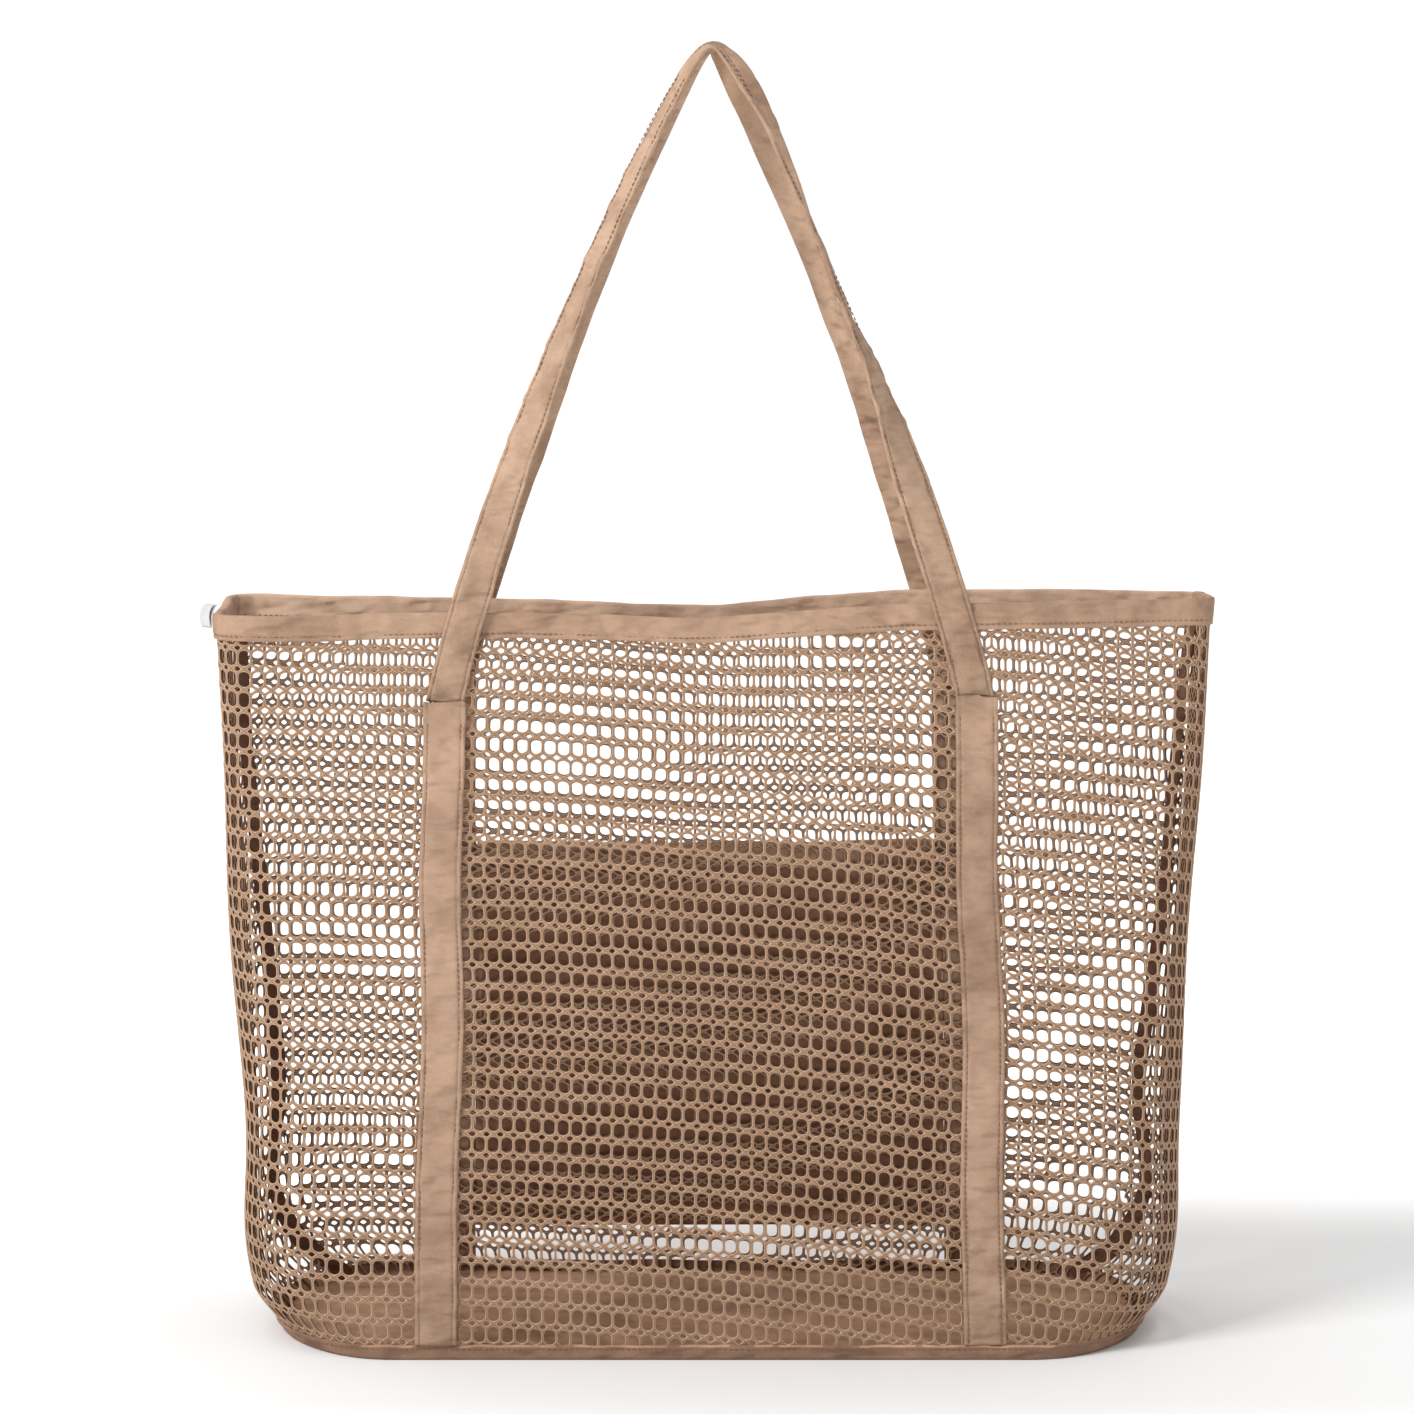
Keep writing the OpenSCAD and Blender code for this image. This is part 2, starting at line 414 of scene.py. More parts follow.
@dataclass(frozen=True)
class Woven:
    """Plain woven polyester: fine crossed threads, a soft dull sheen and slight shading along its creases."""

    name: str
    light: tuple
    dark: tuple
    pitch: float = 0.45 * MM
    relief: float = 0.05 * MM
    rough: float = 0.82
    crumple: float = 6.5 * MM

    def make(self) -> bpy.types.Material:
        """The material; the weave follows the piece's own cloth map, in metres."""
        sh = Shader(self.name)
        uv = sh.node("ShaderNodeUVMap", {"uv_map": "cloth"}).out()
        split = sh.node("ShaderNodeSeparateXYZ", {}, {0: uv})
        u, v = split.out(0), split.out(1)
        place = sh.node("ShaderNodeTexCoord").out("Object")
        turn = math.tau / self.pitch
        warp = (u * (turn / 2)).sin()
        weft = (v * (turn / 2)).sin()
        weave = (warp * weft).abs()
        slub = sh.noise(place, 900.0, 3.0, 0.6)
        patch = sh.noise(place, 60.0, 2.0, 0.5)
        cloudy = sh.noise(place, 14.0, 2.0, 0.5)
        share = patch * 0.42 + slub * 0.18 + cloudy * 0.40 + weave * 0.10
        tint = sh.mix(share.band(0.30, 0.72), self.dark, self.light)
        rough = self.rough + (slub - 0.5) * 0.12
        height = weave * 0.5 + slub * 0.5
        at = sh.node("ShaderNodeSeparateXYZ", {}, {0: place})
        stretched = {0: at.out(0) * 0.7, 1: at.out(1), 2: at.out(2) * 1.5}
        folds = sh.noise(sh.node("ShaderNodeCombineXYZ", {}, stretched).out(), 90.0, 1.5, 0.4)
        soft = sh.node("ShaderNodeBump", {}, {"Height": folds, "Distance": self.crumple, "Strength": 1.0}).out()
        sh.finish(tint, rough, height, self.relief, soft, Specular_IOR_Level=0.3)
        return sh.material


@dataclass(frozen=True)
class Knit:
    """Open warp knit: round yarn bars, lighter round the holes' edges as a painted highlight and darkened on the hole
    walls and inner side as painted shade, with small loops along them.
    """

    name: str
    light: tuple
    dark: tuple
    inner: tuple
    loop: float = 0.95 * MM

    def make(self) -> bpy.types.Material:
        """The material; rim says how near a point lies to a hole, and cloth maps the flat knit, in metres."""
        sh = Shader(self.name)
        rim = sh.node("ShaderNodeAttribute", {"attribute_name": "rim"}).out("Fac")
        uv = sh.node("ShaderNodeUVMap", {"uv_map": "cloth"}).out()
        split = sh.node("ShaderNodeSeparateXYZ", {}, {0: uv})
        u, v = split.out(0), split.out(1)
        place = sh.node("ShaderNodeTexCoord").out("Object")
        turn = math.tau / self.loop
        loops = ((v * turn + (u * (turn * 0.8)).sin() * 1.2).sin() + 1.0) * 0.5
        fuzz = sh.noise(place, 1300.0, 2.0, 0.6)
        patch = sh.noise(place, 45.0, 2.0, 0.5)
        # Lighter towards the hole edges: a painted highlight on the yarn's rolled edges.
        share = rim.band(0.1, 0.95) * 0.42 + loops * 0.22 + fuzz * 0.22 + patch * 0.22
        face = sh.mix(share.band(0.12, 0.85), self.dark, self.light)
        # The inner colour darkens the hole walls and the knit's inner side: painted shade.
        tint = sh.mix(rim.band(1.0, 1.7), face, self.inner)
        height = loops * 0.6 + fuzz * 0.4
        sh.finish(tint, 0.82 + (fuzz - 0.5) * 0.15, height, 0.10 * MM, Specular_IOR_Level=0.2)
        return sh.material


@dataclass(frozen=True)
class Thread:
    """Twisted sewing thread."""

    name: str
    tone: tuple

    def make(self) -> bpy.types.Material:
        """The material, with the twist seen as fine slanting lines."""
        sh = Shader(self.name)
        place = sh.node("ShaderNodeTexCoord").out("Object")
        split = sh.node("ShaderNodeSeparateXYZ", {}, {0: place})
        twist = (((split.out(0) + split.out(2)) * (math.tau / (0.5 * MM))).sin() + 1.0) * 0.5
        fuzz = sh.noise(place, 1500.0)
        shade = tuple(c * 0.72 for c in self.tone[:3]) + (1.0,)
        tint = sh.mix(twist * 0.6 + fuzz * 0.4, shade, self.tone)
        sh.finish(tint, 0.6 + fuzz * 0.2, twist, 0.08 * MM)
        return sh.material


class Finish(Enum):
    """Every finish on the bag."""

    # The knit's third colour is painted shade for its hole walls and inner side.
    KNIT = Knit("open_knit", colour(200, 168, 141), colour(132, 100, 75), colour(80, 54, 39))
    STRAP = Woven("strap_cloth", colour(186, 154, 130), colour(144, 113, 92))
    HANDLE = Woven("handle_cloth", colour(192, 161, 136), colour(142, 111, 89))
    BINDING = Woven("rim_tape", colour(188, 156, 131), colour(152, 120, 97))
    # A lighter copy of the rim tape for the back length: painted light on its shaded inner face.
    LIT_BACK_BINDING = Woven("rim_tape_back", colour(210, 179, 154), colour(172, 141, 118))
    # The base cloth in two copies: this darker one, painted shade on the lip and underside, and a lighter one on the
    # faces that look up, painted light.
    BASE = Woven("base_weave", colour(158, 124, 102), colour(124, 94, 76))
    POCKET = Woven("pocket_weave", colour(182, 140, 112), colour(150, 110, 87))
    HEM = Woven("hem_weave", colour(208, 170, 142), colour(168, 133, 107))
    # The seam tapes' colour is darkened as painted shade for their place inside the bag.
    SHADED_TAPE = Woven("seam_weave", colour(122, 88, 69), colour(92, 63, 47))
    THREAD = Thread("sewing_thread", colour(150, 114, 89))
    # The base cloth's lighter copy for the faces that look up: painted light.
    BASE_LIT_TOP = Woven("base_lit_top_weave", colour(208, 166, 136), colour(148, 111, 88))
    LABEL = Woven("label_ribbon", colour(206, 204, 203), colour(160, 156, 154), 0.3 * MM, 0.03 * MM, 0.5, 0.1 * MM)

    def material(self) -> bpy.types.Material:
        """This finish's material, made once."""
        return bpy.data.materials.get(self.value.name) or self.value.make()


# ---------------------------------------------------------------- making meshes


@dataclass
class Piece:
    """A finished piece: how it is named, dressed and carried."""

    obj: bpy.types.Object
    slot: str
    body: str = ROOT
    stands_for: tuple = ()

    def settle(self) -> bpy.types.Object:
        """Hides the nodes it stands for, hangs it on its body and reports it."""
        if self.stands_for:
            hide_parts(*self.stands_for)
        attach(self.obj, self.body)
        log.info("%s: %d faces on %s", self.obj.name, len(self.obj.data.polygons), self.body)
        return self.obj


def add_object(name: str, mesh: bpy.types.Mesh, finish: Finish) -> bpy.types.Object:
    """Puts a mesh in the scene with its finish.

    Args:
        name: the piece's name.
        mesh: its mesh, in place.
        finish: what it is made of.

    Returns:
        The new object, at the origin.
    """
    mesh.materials.clear()
    mesh.materials.append(finish.material())
    mesh.polygons.foreach_set("material_index", [0] * len(mesh.polygons))
    mesh.polygons.foreach_set("use_smooth", [True] * len(mesh.polygons))
    obj = bpy.data.objects.new(name, mesh)
    bpy.context.scene.collection.objects.link(obj)
    return obj


def loft(name: str, rings: Array, finish: Finish, around: bool = True, along: bool = False) -> bpy.types.Object:
    """A closed skin through rings of points.

    Args:
        name: the piece's name.
        rings: points as (ring, point, 3); each ring runs counter-clockwise seen from the last ring's end.
        finish: what it is made of.
        around: whether each ring closes on itself.
        along: whether the last ring joins the first.

    Returns:
        The new object, with a cloth map in metres.
    """
    n, m, _ = rings.shape
    i = np.arange(n if along else n - 1)[:, None]
    j = np.arange(m if around else m - 1)[None, :]
    i2, j2 = (i + 1) % n, (j + 1) % m
    quads = np.stack([i * m + j, i * m + j2, i2 * m + j2, i2 * m + j], axis=-1).reshape(-1, 4)
    faces = quads.tolist()
    if not along:
        faces += [list(range(m - 1, -1, -1)), [(n - 1) * m + k for k in range(m)]]
    mesh = bpy.data.meshes.new(name)
    mesh.from_pydata(rings.reshape(-1, 3).tolist(), [], faces)
    middle = rings.mean(axis=1)
    run = np.concatenate([[0], np.cumsum(np.linalg.norm(np.diff(middle, axis=0), axis=1))])
    girth = np.linalg.norm(np.roll(rings, -1, axis=1) - rings, axis=2).mean(axis=0)
    turn = np.concatenate([[0], np.cumsum(girth)])
    run = np.append(run, run[-1] + np.linalg.norm(middle[0] - middle[-1]))
    i, j = np.broadcast_arrays(i, j)
    u = np.stack([turn[j], turn[j + 1], turn[j + 1], turn[j]], axis=-1)
    v = np.stack([run[i], run[i], run[i + 1], run[i + 1]], axis=-1)
    flat = np.stack([u, v], axis=-1).reshape(-1, 2)
    if not along:
        flat = np.concatenate([flat, np.zeros((2 * m, 2))])
    layer = mesh.uv_layers.new(name="cloth")
    layer.data.foreach_set("uv", flat.astype(np.float32).ravel())
    mesh.validate()
    return add_object(name, mesh, finish)


def points_of(mesh: bpy.types.Mesh) -> Array:
    """The mesh's points, one to a row."""
    flat = np.zeros(len(mesh.vertices) * 3)
    mesh.vertices.foreach_get("co", flat)
    return flat.reshape(-1, 3)


def map_corners(mesh: bpy.types.Mesh, layer: bpy.types.MeshUVLoopLayer, flat: Array) -> None:
    """Gives every face corner its point's place on the flat cloth."""
    index = np.zeros(len(mesh.loops), np.int32)
    mesh.loops.foreach_get("vertex_index", index)
    layer.data.foreach_set("uv", flat[index].astype(np.float32).ravel())


def recalculate(mesh: bpy.types.Mesh) -> None:
    """Turns every face of a closed mesh outwards."""
    bm = bmesh.new()
    bm.from_mesh(mesh)
    bmesh.ops.recalc_face_normals(bm, faces=bm.faces)
    bm.to_mesh(mesh)
    bm.free()


def paint_light_on_top_faces(mesh: bpy.types.Mesh) -> None:
    """Gives the faces that look up the base cloth's lighter copy: painted light."""
    mesh.materials.append(Finish.BASE_LIT_TOP.material())
    for face in mesh.polygons:
        if face.normal.z > 0.4:
            face.material_index = 1


@dataclass(frozen=True)
class Track:
    """A line on a surface for something to follow: points, the way along it and the way out of the cloth."""

    points: Array
    out: Array

    def along(self) -> Array:
        """Unit directions along the line."""
        return unit(np.gradient(self.points, axis=0))

    def length(self) -> float:
        """Its length."""
        return float(np.linalg.norm(np.diff(self.points, axis=0), axis=1).sum())

    def spaced(self, step: float) -> "Track":
        """The same line with points a step apart."""
        run = np.concatenate([[0], np.cumsum(np.linalg.norm(np.diff(self.points, axis=0), axis=1))])
        at = np.linspace(0, run[-1], max(2, round(run[-1] / step) + 1))
        pick = lambda a: np.stack([np.interp(at, run, a[:, k]) for k in range(3)], axis=1)
        return Track(pick(self.points), unit(pick(self.out)))


@dataclass(frozen=True)
class Band:
    """A flat folded band of cloth, topstitched near both edges.

    width and thick are its section; pucker is how far the stitches gather it; seed picks its wrinkles; ragged is how
    uneven its far end is; flat_ends is the length at both ends over which the wrinkles die away.
    """

    width: float
    thick: float
    pucker: float
    seed: int
    inset: float = 0.78
    step: float = 1.6 * MM
    ragged: float = 0.0
    flat_ends: float = 0.0

    def section(self) -> Array:
        """The section's points as (across, out), in half widths and half thicknesses, counter-clockwise."""
        g = self.inset
        top = [(1.0, 0.0), (0.975, 0.75), (0.90, 1.0), (g + 0.035, 0.85), (g, 0.45), (g - 0.035, 0.85)]
        top += [(x, 1.0) for x in (0.62, 0.45, 0.27, 0.09)]
        top += [(-x, y) for x, y in reversed(top)]
        under = [(-0.9, -0.85), (-0.45, -1.0), (0.0, -1.0), (0.45, -1.0), (0.9, -0.85)]
        return np.array(top + under)

    def build(self, name: str, track: Track, finish: Finish) -> bpy.types.Object:
        """Lays the band along a track.

        Args:
            name: the piece's name.
            track: the band's middle line and which way it faces.
            finish: its cloth.

        Returns:
            The new object.
        """
        track = track.spaced(self.step)
        t = track.along()
        n = unit(track.out - t * (track.out * t).sum(1, keepdims=True))
        a = np.cross(n, t)
        run = np.arange(len(t))[:, None] * self.step
        across, out = self.section().T
        wide = self.width / 2 * (1 + 0.02 * Ripple(self.seed, 11 * MM, 1.0).at(run, 0.0))
        upper = out[None, :] > 0.3
        x = across[None, :] * wide
        gather = Ripple(self.seed + 1, 3.4 * MM, 5 * MM).at(run, x)
        crease = Ripple(self.seed + 2, 9 * MM, 7 * MM).at(run + 0.35 * np.abs(x), x)
        edge = 0.55 + 0.45 * np.abs(across[None, :])
        lift = self.pucker * (0.55 * gather * edge + 0.75 * crease) * upper
        lift = lift + self.pucker * 0.9 * Ripple(self.seed + 3, 24 * MM, 1.0).at(run, 0.0)
        if self.flat_ends:
            lift = lift * ease((np.minimum(run, run[-1] - run) - self.flat_ends) / self.flat_ends)
        y = out[None, :] * self.thick / 2 + lift
        rings = track.points[:, None, :] + a[:, None, :] * x[..., None] + n[:, None, :] * y[..., None]
        frayed = self.ragged * ease((run - run[-1] + 4 * MM) / (4 * MM)) * Ripple(self.seed + 4, 1.0, 4 * MM).at(0.0, x)
        return loft(name, rings + t[:, None, :] * frayed[..., None], finish)

    def rows(self, track: Track, ends: float = 2.5 * MM) -> list[Track]:
        """The two lines of stitches on the band's outer face."""
        fine = track.spaced(1.0 * MM)
        t = fine.along()
        n = unit(fine.out - t * (fine.out * t).sum(1, keepdims=True))
        a = np.cross(n, t)
        cut = max(1, round(ends / (1.0 * MM)))
        found = []
        for side in (-1, 1):
            line = fine.points + a * side * self.inset * self.width / 2 + n * self.thick * 0.36
            found.append(Track(line[cut:-cut], n[cut:-cut]))
        return found


# ---------------------------------------------------------------- geometry node trees


class GeoTree:
    """A geometry node tree being built."""

    def __init__(self, name: str, inputs: dict[str, str]) -> None:
        """A tree with those named inputs, each with its socket type."""
        self.tree = bpy.data.node_groups.new(name, "GeometryNodeTree")
        side = self.tree.interface
        side.new_socket("Geometry", in_out="OUTPUT", socket_type="NodeSocketGeometry")
        side.new_socket("Geometry", in_out="INPUT", socket_type="NodeSocketGeometry")
        self.ids = {
            key: side.new_socket(key, in_out="INPUT", socket_type=kind).identifier for key, kind in inputs.items()
        }
        self.source = self.tree.nodes.new("NodeGroupInput")
        self.sink = self.tree.nodes.new("NodeGroupOutput")

    def node(self, kind: str, settings: dict | None = None, inputs: dict | None = None) -> object:
        """Adds a node; inputs are values or sockets."""
        made = self.tree.nodes.new(kind)
        for key, value in (settings or {}).items():
            setattr(made, key, value)
        for key, value in (inputs or {}).items():
            if isinstance(value, bpy.types.NodeSocket):
                self.tree.links.new(value, made.inputs[key])
            else:
                made.inputs[key].default_value = value
        return made

    def close(self, geometry: object, material: object) -> None:
        """Ends the tree: instances made real, then the material."""
        real = self.node("GeometryNodeRealizeInstances", {}, {0: geometry})
        merged = self.node("GeometryNodeMergeByDistance", {}, {0: real.outputs[0], "Distance": 0.02 * MM})
        dressed = self.node("GeometryNodeSetMaterial", {}, {0: merged.outputs[0], "Material": material})
        self.tree.links.new(dressed.outputs[0], self.sink.inputs[0])

    def run(self, carrier: bpy.types.Mesh, values: dict[str, object]) -> bpy.types.Mesh:
        """Runs the tree on a mesh.

        Args:
            carrier: the mesh that the tree starts from.
            values: a value for each named input.

        Returns:
            The plain mesh that comes out.
        """
        holder = bpy.data.objects.new("holder", carrier)
        bpy.context.scene.collection.objects.link(holder)
        modifier = holder.modifiers.new("tree", "NODES")
        modifier.node_group = self.tree
        for key, value in values.items():
            modifier[self.ids[key]] = value
        bpy.context.view_layer.update()
        graph = bpy.context.evaluated_depsgraph_get()
        mesh = bpy.data.meshes.new_from_object(holder.evaluated_get(graph), depsgraph=graph)
        holder.modifiers.remove(modifier)
        bpy.data.objects.remove(holder)
        return mesh


@dataclass
class NetMaker:
    """Repeats one knitted cell over a flat sheet.

    pitch_x and pitch_y are the distances between big holes; bar is half the yarn bar's thickness along its middle,
    and brim half its thickness at a hole's edge.
    """

    pitch_x: float = 6.65 * MM
    pitch_y: float = 10.0 * MM
    bar: float = 0.68 * MM
    brim: float = 0.46 * MM
    _tree: GeoTree | None = None
    _cell: bpy.types.Object | None = None

    def cell(self) -> bpy.types.Object:
        """One cell: half bars down both sides, splitting round the small holes at its corners."""
        if self._cell:
            return self._cell
        px, py = self.pitch_x / MM / 2, self.pitch_y / MM / 2
        # One quarter of the cell: the big hole's edge, the bars' crown and the small hole's edge
        hole = [(2.70, 0.0), (2.70, 1.35), (2.48, 2.35), (1.85, 3.05), (0.98, 3.45), (0.0, 3.58)]
        crown = [(px, 0.0), (px, 1.35), (px, 2.5), (2.5, 3.3), (1.25, 4.05), (0.0, py)]
        small = [(px, 3.7), (2.35, 4.2), (1.6, py)]
        lines = {"h": hole, "c": crown, "s": small}
        tops = [
            *([("h", k), ("h", k + 1), ("c", k + 1), ("c", k)] for k in range(5)),
            [("c", 2), ("c", 3), ("s", 0)],
            [("s", 0), ("c", 3), ("c", 4), ("s", 1)],
            [("s", 1), ("c", 4), ("c", 5), ("s", 2)],
        ]
        walls = [(("h", k + 1), ("h", k)) for k in range(5)] + [(("s", k), ("s", k + 1)) for k in range(2)]
        high = {"c": self.bar, "h": self.brim, "s": self.brim}
        mesh = bpy.data.meshes.new("cell")
        bm = bmesh.new()
        rim = bm.verts.layers.float.new("rim")

        def corner(key: str, k: int, face: int, sx: int, sy: int) -> bmesh.types.BMVert:
            """One corner: on the outer side for face 1 and the inner side for face -1."""
            x, y = lines[key][k]
            vert = bm.verts.new((sx * x * MM, sy * y * MM, high[key] * face))
            # rim is 0 on the crowns, 1 at the outer hole edges, lightened there as a painted highlight, and 2 on the
            # inner side, darkened there as painted shade.
            vert[rim] = 0.0 if key == "c" else 1.0 if face > 0 else 2.0
            return vert

        for sx in (1, -1):
            for sy in (1, -1):
                for face in (1, -1):
                    for top in tops:
                        ring = [corner(key, k, face, sx, sy) for key, k in top]
                        bm.faces.new(ring if sx * sy * face < 0 else ring[::-1])
                for one, two in walls:
                    ring = [corner(*one, 1, sx, sy), corner(*two, 1, sx, sy)]
                    ring += [corner(*two, -1, sx, sy), corner(*one, -1, sx, sy)]
                    bm.faces.new(ring if sx * sy < 0 else ring[::-1])
        bmesh.ops.remove_doubles(bm, verts=bm.verts, dist=0.01 * MM)
        bm.to_mesh(mesh)
        bm.free()
        self._cell = bpy.data.objects.new("cell", mesh)
        bpy.context.scene.collection.objects.link(self._cell)
        return self._cell

    def tree(self) -> GeoTree:
        """The tree that repeats the cell over a grid of points."""
        if self._tree:
            return self._tree
        kinds = {"Cell": "NodeSocketObject", "Columns": "NodeSocketInt", "Rows": "NodeSocketInt"}
        kinds |= {"Width": "NodeSocketFloat", "Height": "NodeSocketFloat", "Material": "NodeSocketMaterial"}
        geo = GeoTree("knit_sheet", kinds)
        source = geo.source.outputs
        sizes = {"Size X": source["Width"], "Size Y": source["Height"]}
        counts = {"Vertices X": source["Columns"], "Vertices Y": source["Rows"]}
        grid = geo.node("GeometryNodeMeshGrid", {}, sizes | counts)
        cell = geo.node("GeometryNodeObjectInfo", {}, {"Object": source["Cell"]})
        pins = {"Points": grid.outputs["Mesh"], "Instance": cell.outputs["Geometry"]}
        geo.close(geo.node("GeometryNodeInstanceOnPoints", {}, pins).outputs[0], source["Material"])
        self._tree = geo
        return geo

    def sheet(self, columns: tuple[int, int], rows: tuple[int, int], finish: Finish) -> bpy.types.Mesh:
        """A flat net.

        Args:
            columns: first and last column edge, counted from the middle.
            rows: first and last row edge, counted from height 0.
            finish: its yarn.

        Returns:
            A mesh in the XY plane, x round the bag and y up it.
        """
        wide, high = columns[1] - columns[0], rows[1] - rows[0]
        values = {
            "Cell": self.cell(),
            "Columns": wide,
            "Rows": high,
            "Width": (wide - 1) * self.pitch_x,
            "Height": (high - 1) * self.pitch_y,
            "Material": finish.material(),
        }
        mesh = self.tree().run(bpy.data.meshes.new("start"), values)
        middle = ((columns[0] + columns[1]) / 2 * self.pitch_x, (rows[0] + rows[1]) / 2 * self.pitch_y, 0)
        mesh.transform(Matrix.Translation(middle))
        return mesh

    def clear(self) -> None:
        """Takes the cell away once every net is made."""
        if self._cell:
            bpy.data.objects.remove(self._cell)
            self._cell = None


@dataclass
class Stitcher:
    """Sews rows of single stitches along tracks."""

    pitch: float = 2.7 * MM
    long: float = 2.1 * MM
    wide: float = 0.62 * MM
    _tree: GeoTree | None = None

    def tree(self) -> GeoTree:
        """The tree that puts one stitch on each point, turned to its along and out directions."""
        if self._tree:
            return self._tree
        kinds = {"Length": "NodeSocketFloat", "Width": "NodeSocketFloat", "Material": "NodeSocketMaterial"}
        geo = GeoTree("stitch_row", kinds)
        source = geo.source.outputs
        shape = geo.node("GeometryNodeMeshUVSphere", {}, {"Segments": 8, "Rings": 4, "Radius": 0.5})
        size = geo.node("ShaderNodeCombineXYZ", {}, {0: source["Length"], 1: source["Width"], 2: source["Width"]})
        stitch = geo.node("GeometryNodeTransform", {}, {0: shape.outputs[0], "Scale": size.outputs[0]})
        along = geo.node("GeometryNodeInputNamedAttribute", {"data_type": "FLOAT_VECTOR"}, {"Name": "along"})
        out = geo.node("GeometryNodeInputNamedAttribute", {"data_type": "FLOAT_VECTOR"}, {"Name": "out"})
        turn = geo.node("FunctionNodeAlignRotationToVector", {"axis": "X"}, {"Vector": along.outputs[0]})
        level = geo.node(
            "FunctionNodeAlignRotationToVector",
            {"axis": "Z", "pivot_axis": "X"},
            {"Rotation": turn.outputs[0], "Vector": out.outputs[0]},
        )
        pins = {"Points": source["Geometry"], "Instance": stitch.outputs[0], "Rotation": level.outputs[0]}
        geo.close(geo.node("GeometryNodeInstanceOnPoints", {}, pins).outputs[0], source["Material"])
        self._tree = geo
        return geo

    def sew(self, name: str, tracks: list[Track]) -> bpy.types.Object:
        """Stitches along every track, as one piece.

        Args:
            name: the piece's name.
            tracks: the lines to sew.

        Returns:
            The new object.
        """
        spaced = [track.spaced(self.pitch) for track in tracks]
        points = np.concatenate([track.points for track in spaced])
        carrier = bpy.data.meshes.new("points")
        carrier.from_pydata(points.tolist(), [], [])
        for key, rows in (
            ("along", [track.along() for track in spaced]),
            ("out", [track.out for track in spaced]),
        ):
            layer = carrier.attributes.new(key, "FLOAT_VECTOR", "POINT")
            layer.data.foreach_set("vector", np.concatenate(rows).astype(np.float32).ravel())
        values = {"Length": self.long, "Width": self.wide, "Material": Finish.THREAD.material()}
        return add_object(name, self.tree().run(carrier, values), Finish.THREAD)


# ---------------------------------------------------------------- the bag's parts


@dataclass
class NetPanels:
    """The two knitted body panels, each wrapped round the bag from seam to seam.

    The knit hangs a little askew: lean is how fast its rows fall to the right, in height for each metre round.
    """

    shape: BagShape
    maker: NetMaker = field(default_factory=NetMaker)
    depth: float = 0.66 * MM
    low: float = 1.4 * MM
    lean: float = 0.096
    rear_lean: float = 0.05
    reach: float = 0.15

    def askew(self, s: Array, is_back: bool) -> Array:
        """How far the rows have risen at a length s round from the panel's middle."""
        if is_back:
            return -self.rear_lean * s
        return -self.lean * (s + self.reach * np.log(np.cosh(s / self.reach)))

    def wrap(self, name: str, columns: tuple[int, int], is_back: bool) -> bpy.types.Object:
        """Makes one stretch of knit and lays it on the bag.

        Args:
            name: the piece's name.
            columns: its first and last column edge from the panel's middle, counted to the right.
            is_back: whether it belongs to the back panel.

        Returns:
            The new object.
        """
        maker, shape = self.maker, self.shape
        top = shape.height - 1.6 * MM
        edges = np.linspace(columns[0], columns[1], 9) * maker.pitch_x
        drift = self.askew(edges, is_back)
        first = math.floor((self.low - drift.max()) / maker.pitch_y)
        last = math.ceil((top - drift.min()) / maker.pitch_y)
        mesh = maker.sheet(columns, (first, last), Finish.KNIT)
        sheared = points_of(mesh)
        sheared[:, 1] += self.askew(sheared[:, 0], is_back)
        mesh.vertices.foreach_set("co", sheared.ravel())
        self.trim(mesh, top, is_back)
        flat = points_of(mesh)
        self.map(mesh, flat)
        u, z, h = flat.T
        uneven_u = Ripple(11, 8 * MM, 12 * MM).at(u + 0.7, z) * 0.28 * MM
        uneven_z = Ripple(12, 12 * MM, 8 * MM).at(u + 0.7, z) * 0.30 * MM
        fade = ease((z - self.low) / (12 * MM)) * ease((top - z) / (12 * MM))
        s, z2 = u + uneven_u * fade, z + uneven_z * fade
        if is_back:
            ends = [shape.way_at(level) - float(shape.seam(level)) for level in (0.0, shape.height)]
            s = s * (shape.half_way(z2) - shape.seam(z2)) / (ends[0] + (ends[1] - ends[0]) * z2 / shape.height)
            f = np.where(s < 0, -1.0, 1.0) * (1 - np.abs(s) / shape.half_way(z2))
        else:
            f = s / shape.half_way(z2)
        points = shape.place(f, z2, h - self.depth)
        mesh.vertices.foreach_set("co", points.astype(np.float32).ravel())
        if is_back:
            mesh.flip_normals()
        mesh.update()
        return add_object(name, mesh, Finish.KNIT)

    def trim(self, mesh: bpy.types.Mesh, top: float, is_back: bool) -> None:
        """Cuts the flat knit along the rim, the base and both seams."""
        shape = self.shape
        low_s, high_s = float(shape.seam(0.0)), float(shape.seam(shape.height))
        if is_back:
            low_s = shape.way_at(0.0) - low_s
            high_s = shape.way_at(shape.height) - high_s
        slant = (high_s - low_s) / shape.height
        cuts = [((0, top, 0), (0, 1, 0)), ((0, self.low, 0), (0, -1, 0))]
        cuts += [((side * low_s, 0, 0), (side, -slant, 0)) for side in (-1, 1)]
        bm = bmesh.new()
        bm.from_mesh(mesh)
        for place, away in cuts:
            everything = bm.verts[:] + bm.edges[:] + bm.faces[:]
            plane = {"plane_co": place, "plane_no": Vector(away).normalized()}
            bmesh.ops.bisect_plane(bm, geom=everything, dist=0.005 * MM, clear_outer=True, **plane)
        bm.to_mesh(mesh)
        bm.free()

    def map(self, mesh: bpy.types.Mesh, flat: Array) -> None:
        """Gives the knit its cloth map, in metres on the flat."""
        for layer in list(mesh.uv_layers):
            mesh.uv_layers.remove(layer)
        map_corners(mesh, mesh.uv_layers.new(name="cloth"), flat[:, :2])

    def build(self) -> None:
        """Both panels, each in upright stretches of whole columns."""
        for panel, edges in (("front", (-52, -35, -19, 0, 19, 35, 52)), ("back", (-36, -19, 0, 19, 36))):
            for number, columns in enumerate(zip(edges, edges[1:]), 1):
                obj = self.wrap(f"net_{panel}_{number}", columns, panel == "back")
                Piece(obj, "mesh", ROOT, (f"mesh_{panel}",)).settle()
        self.maker.clear()


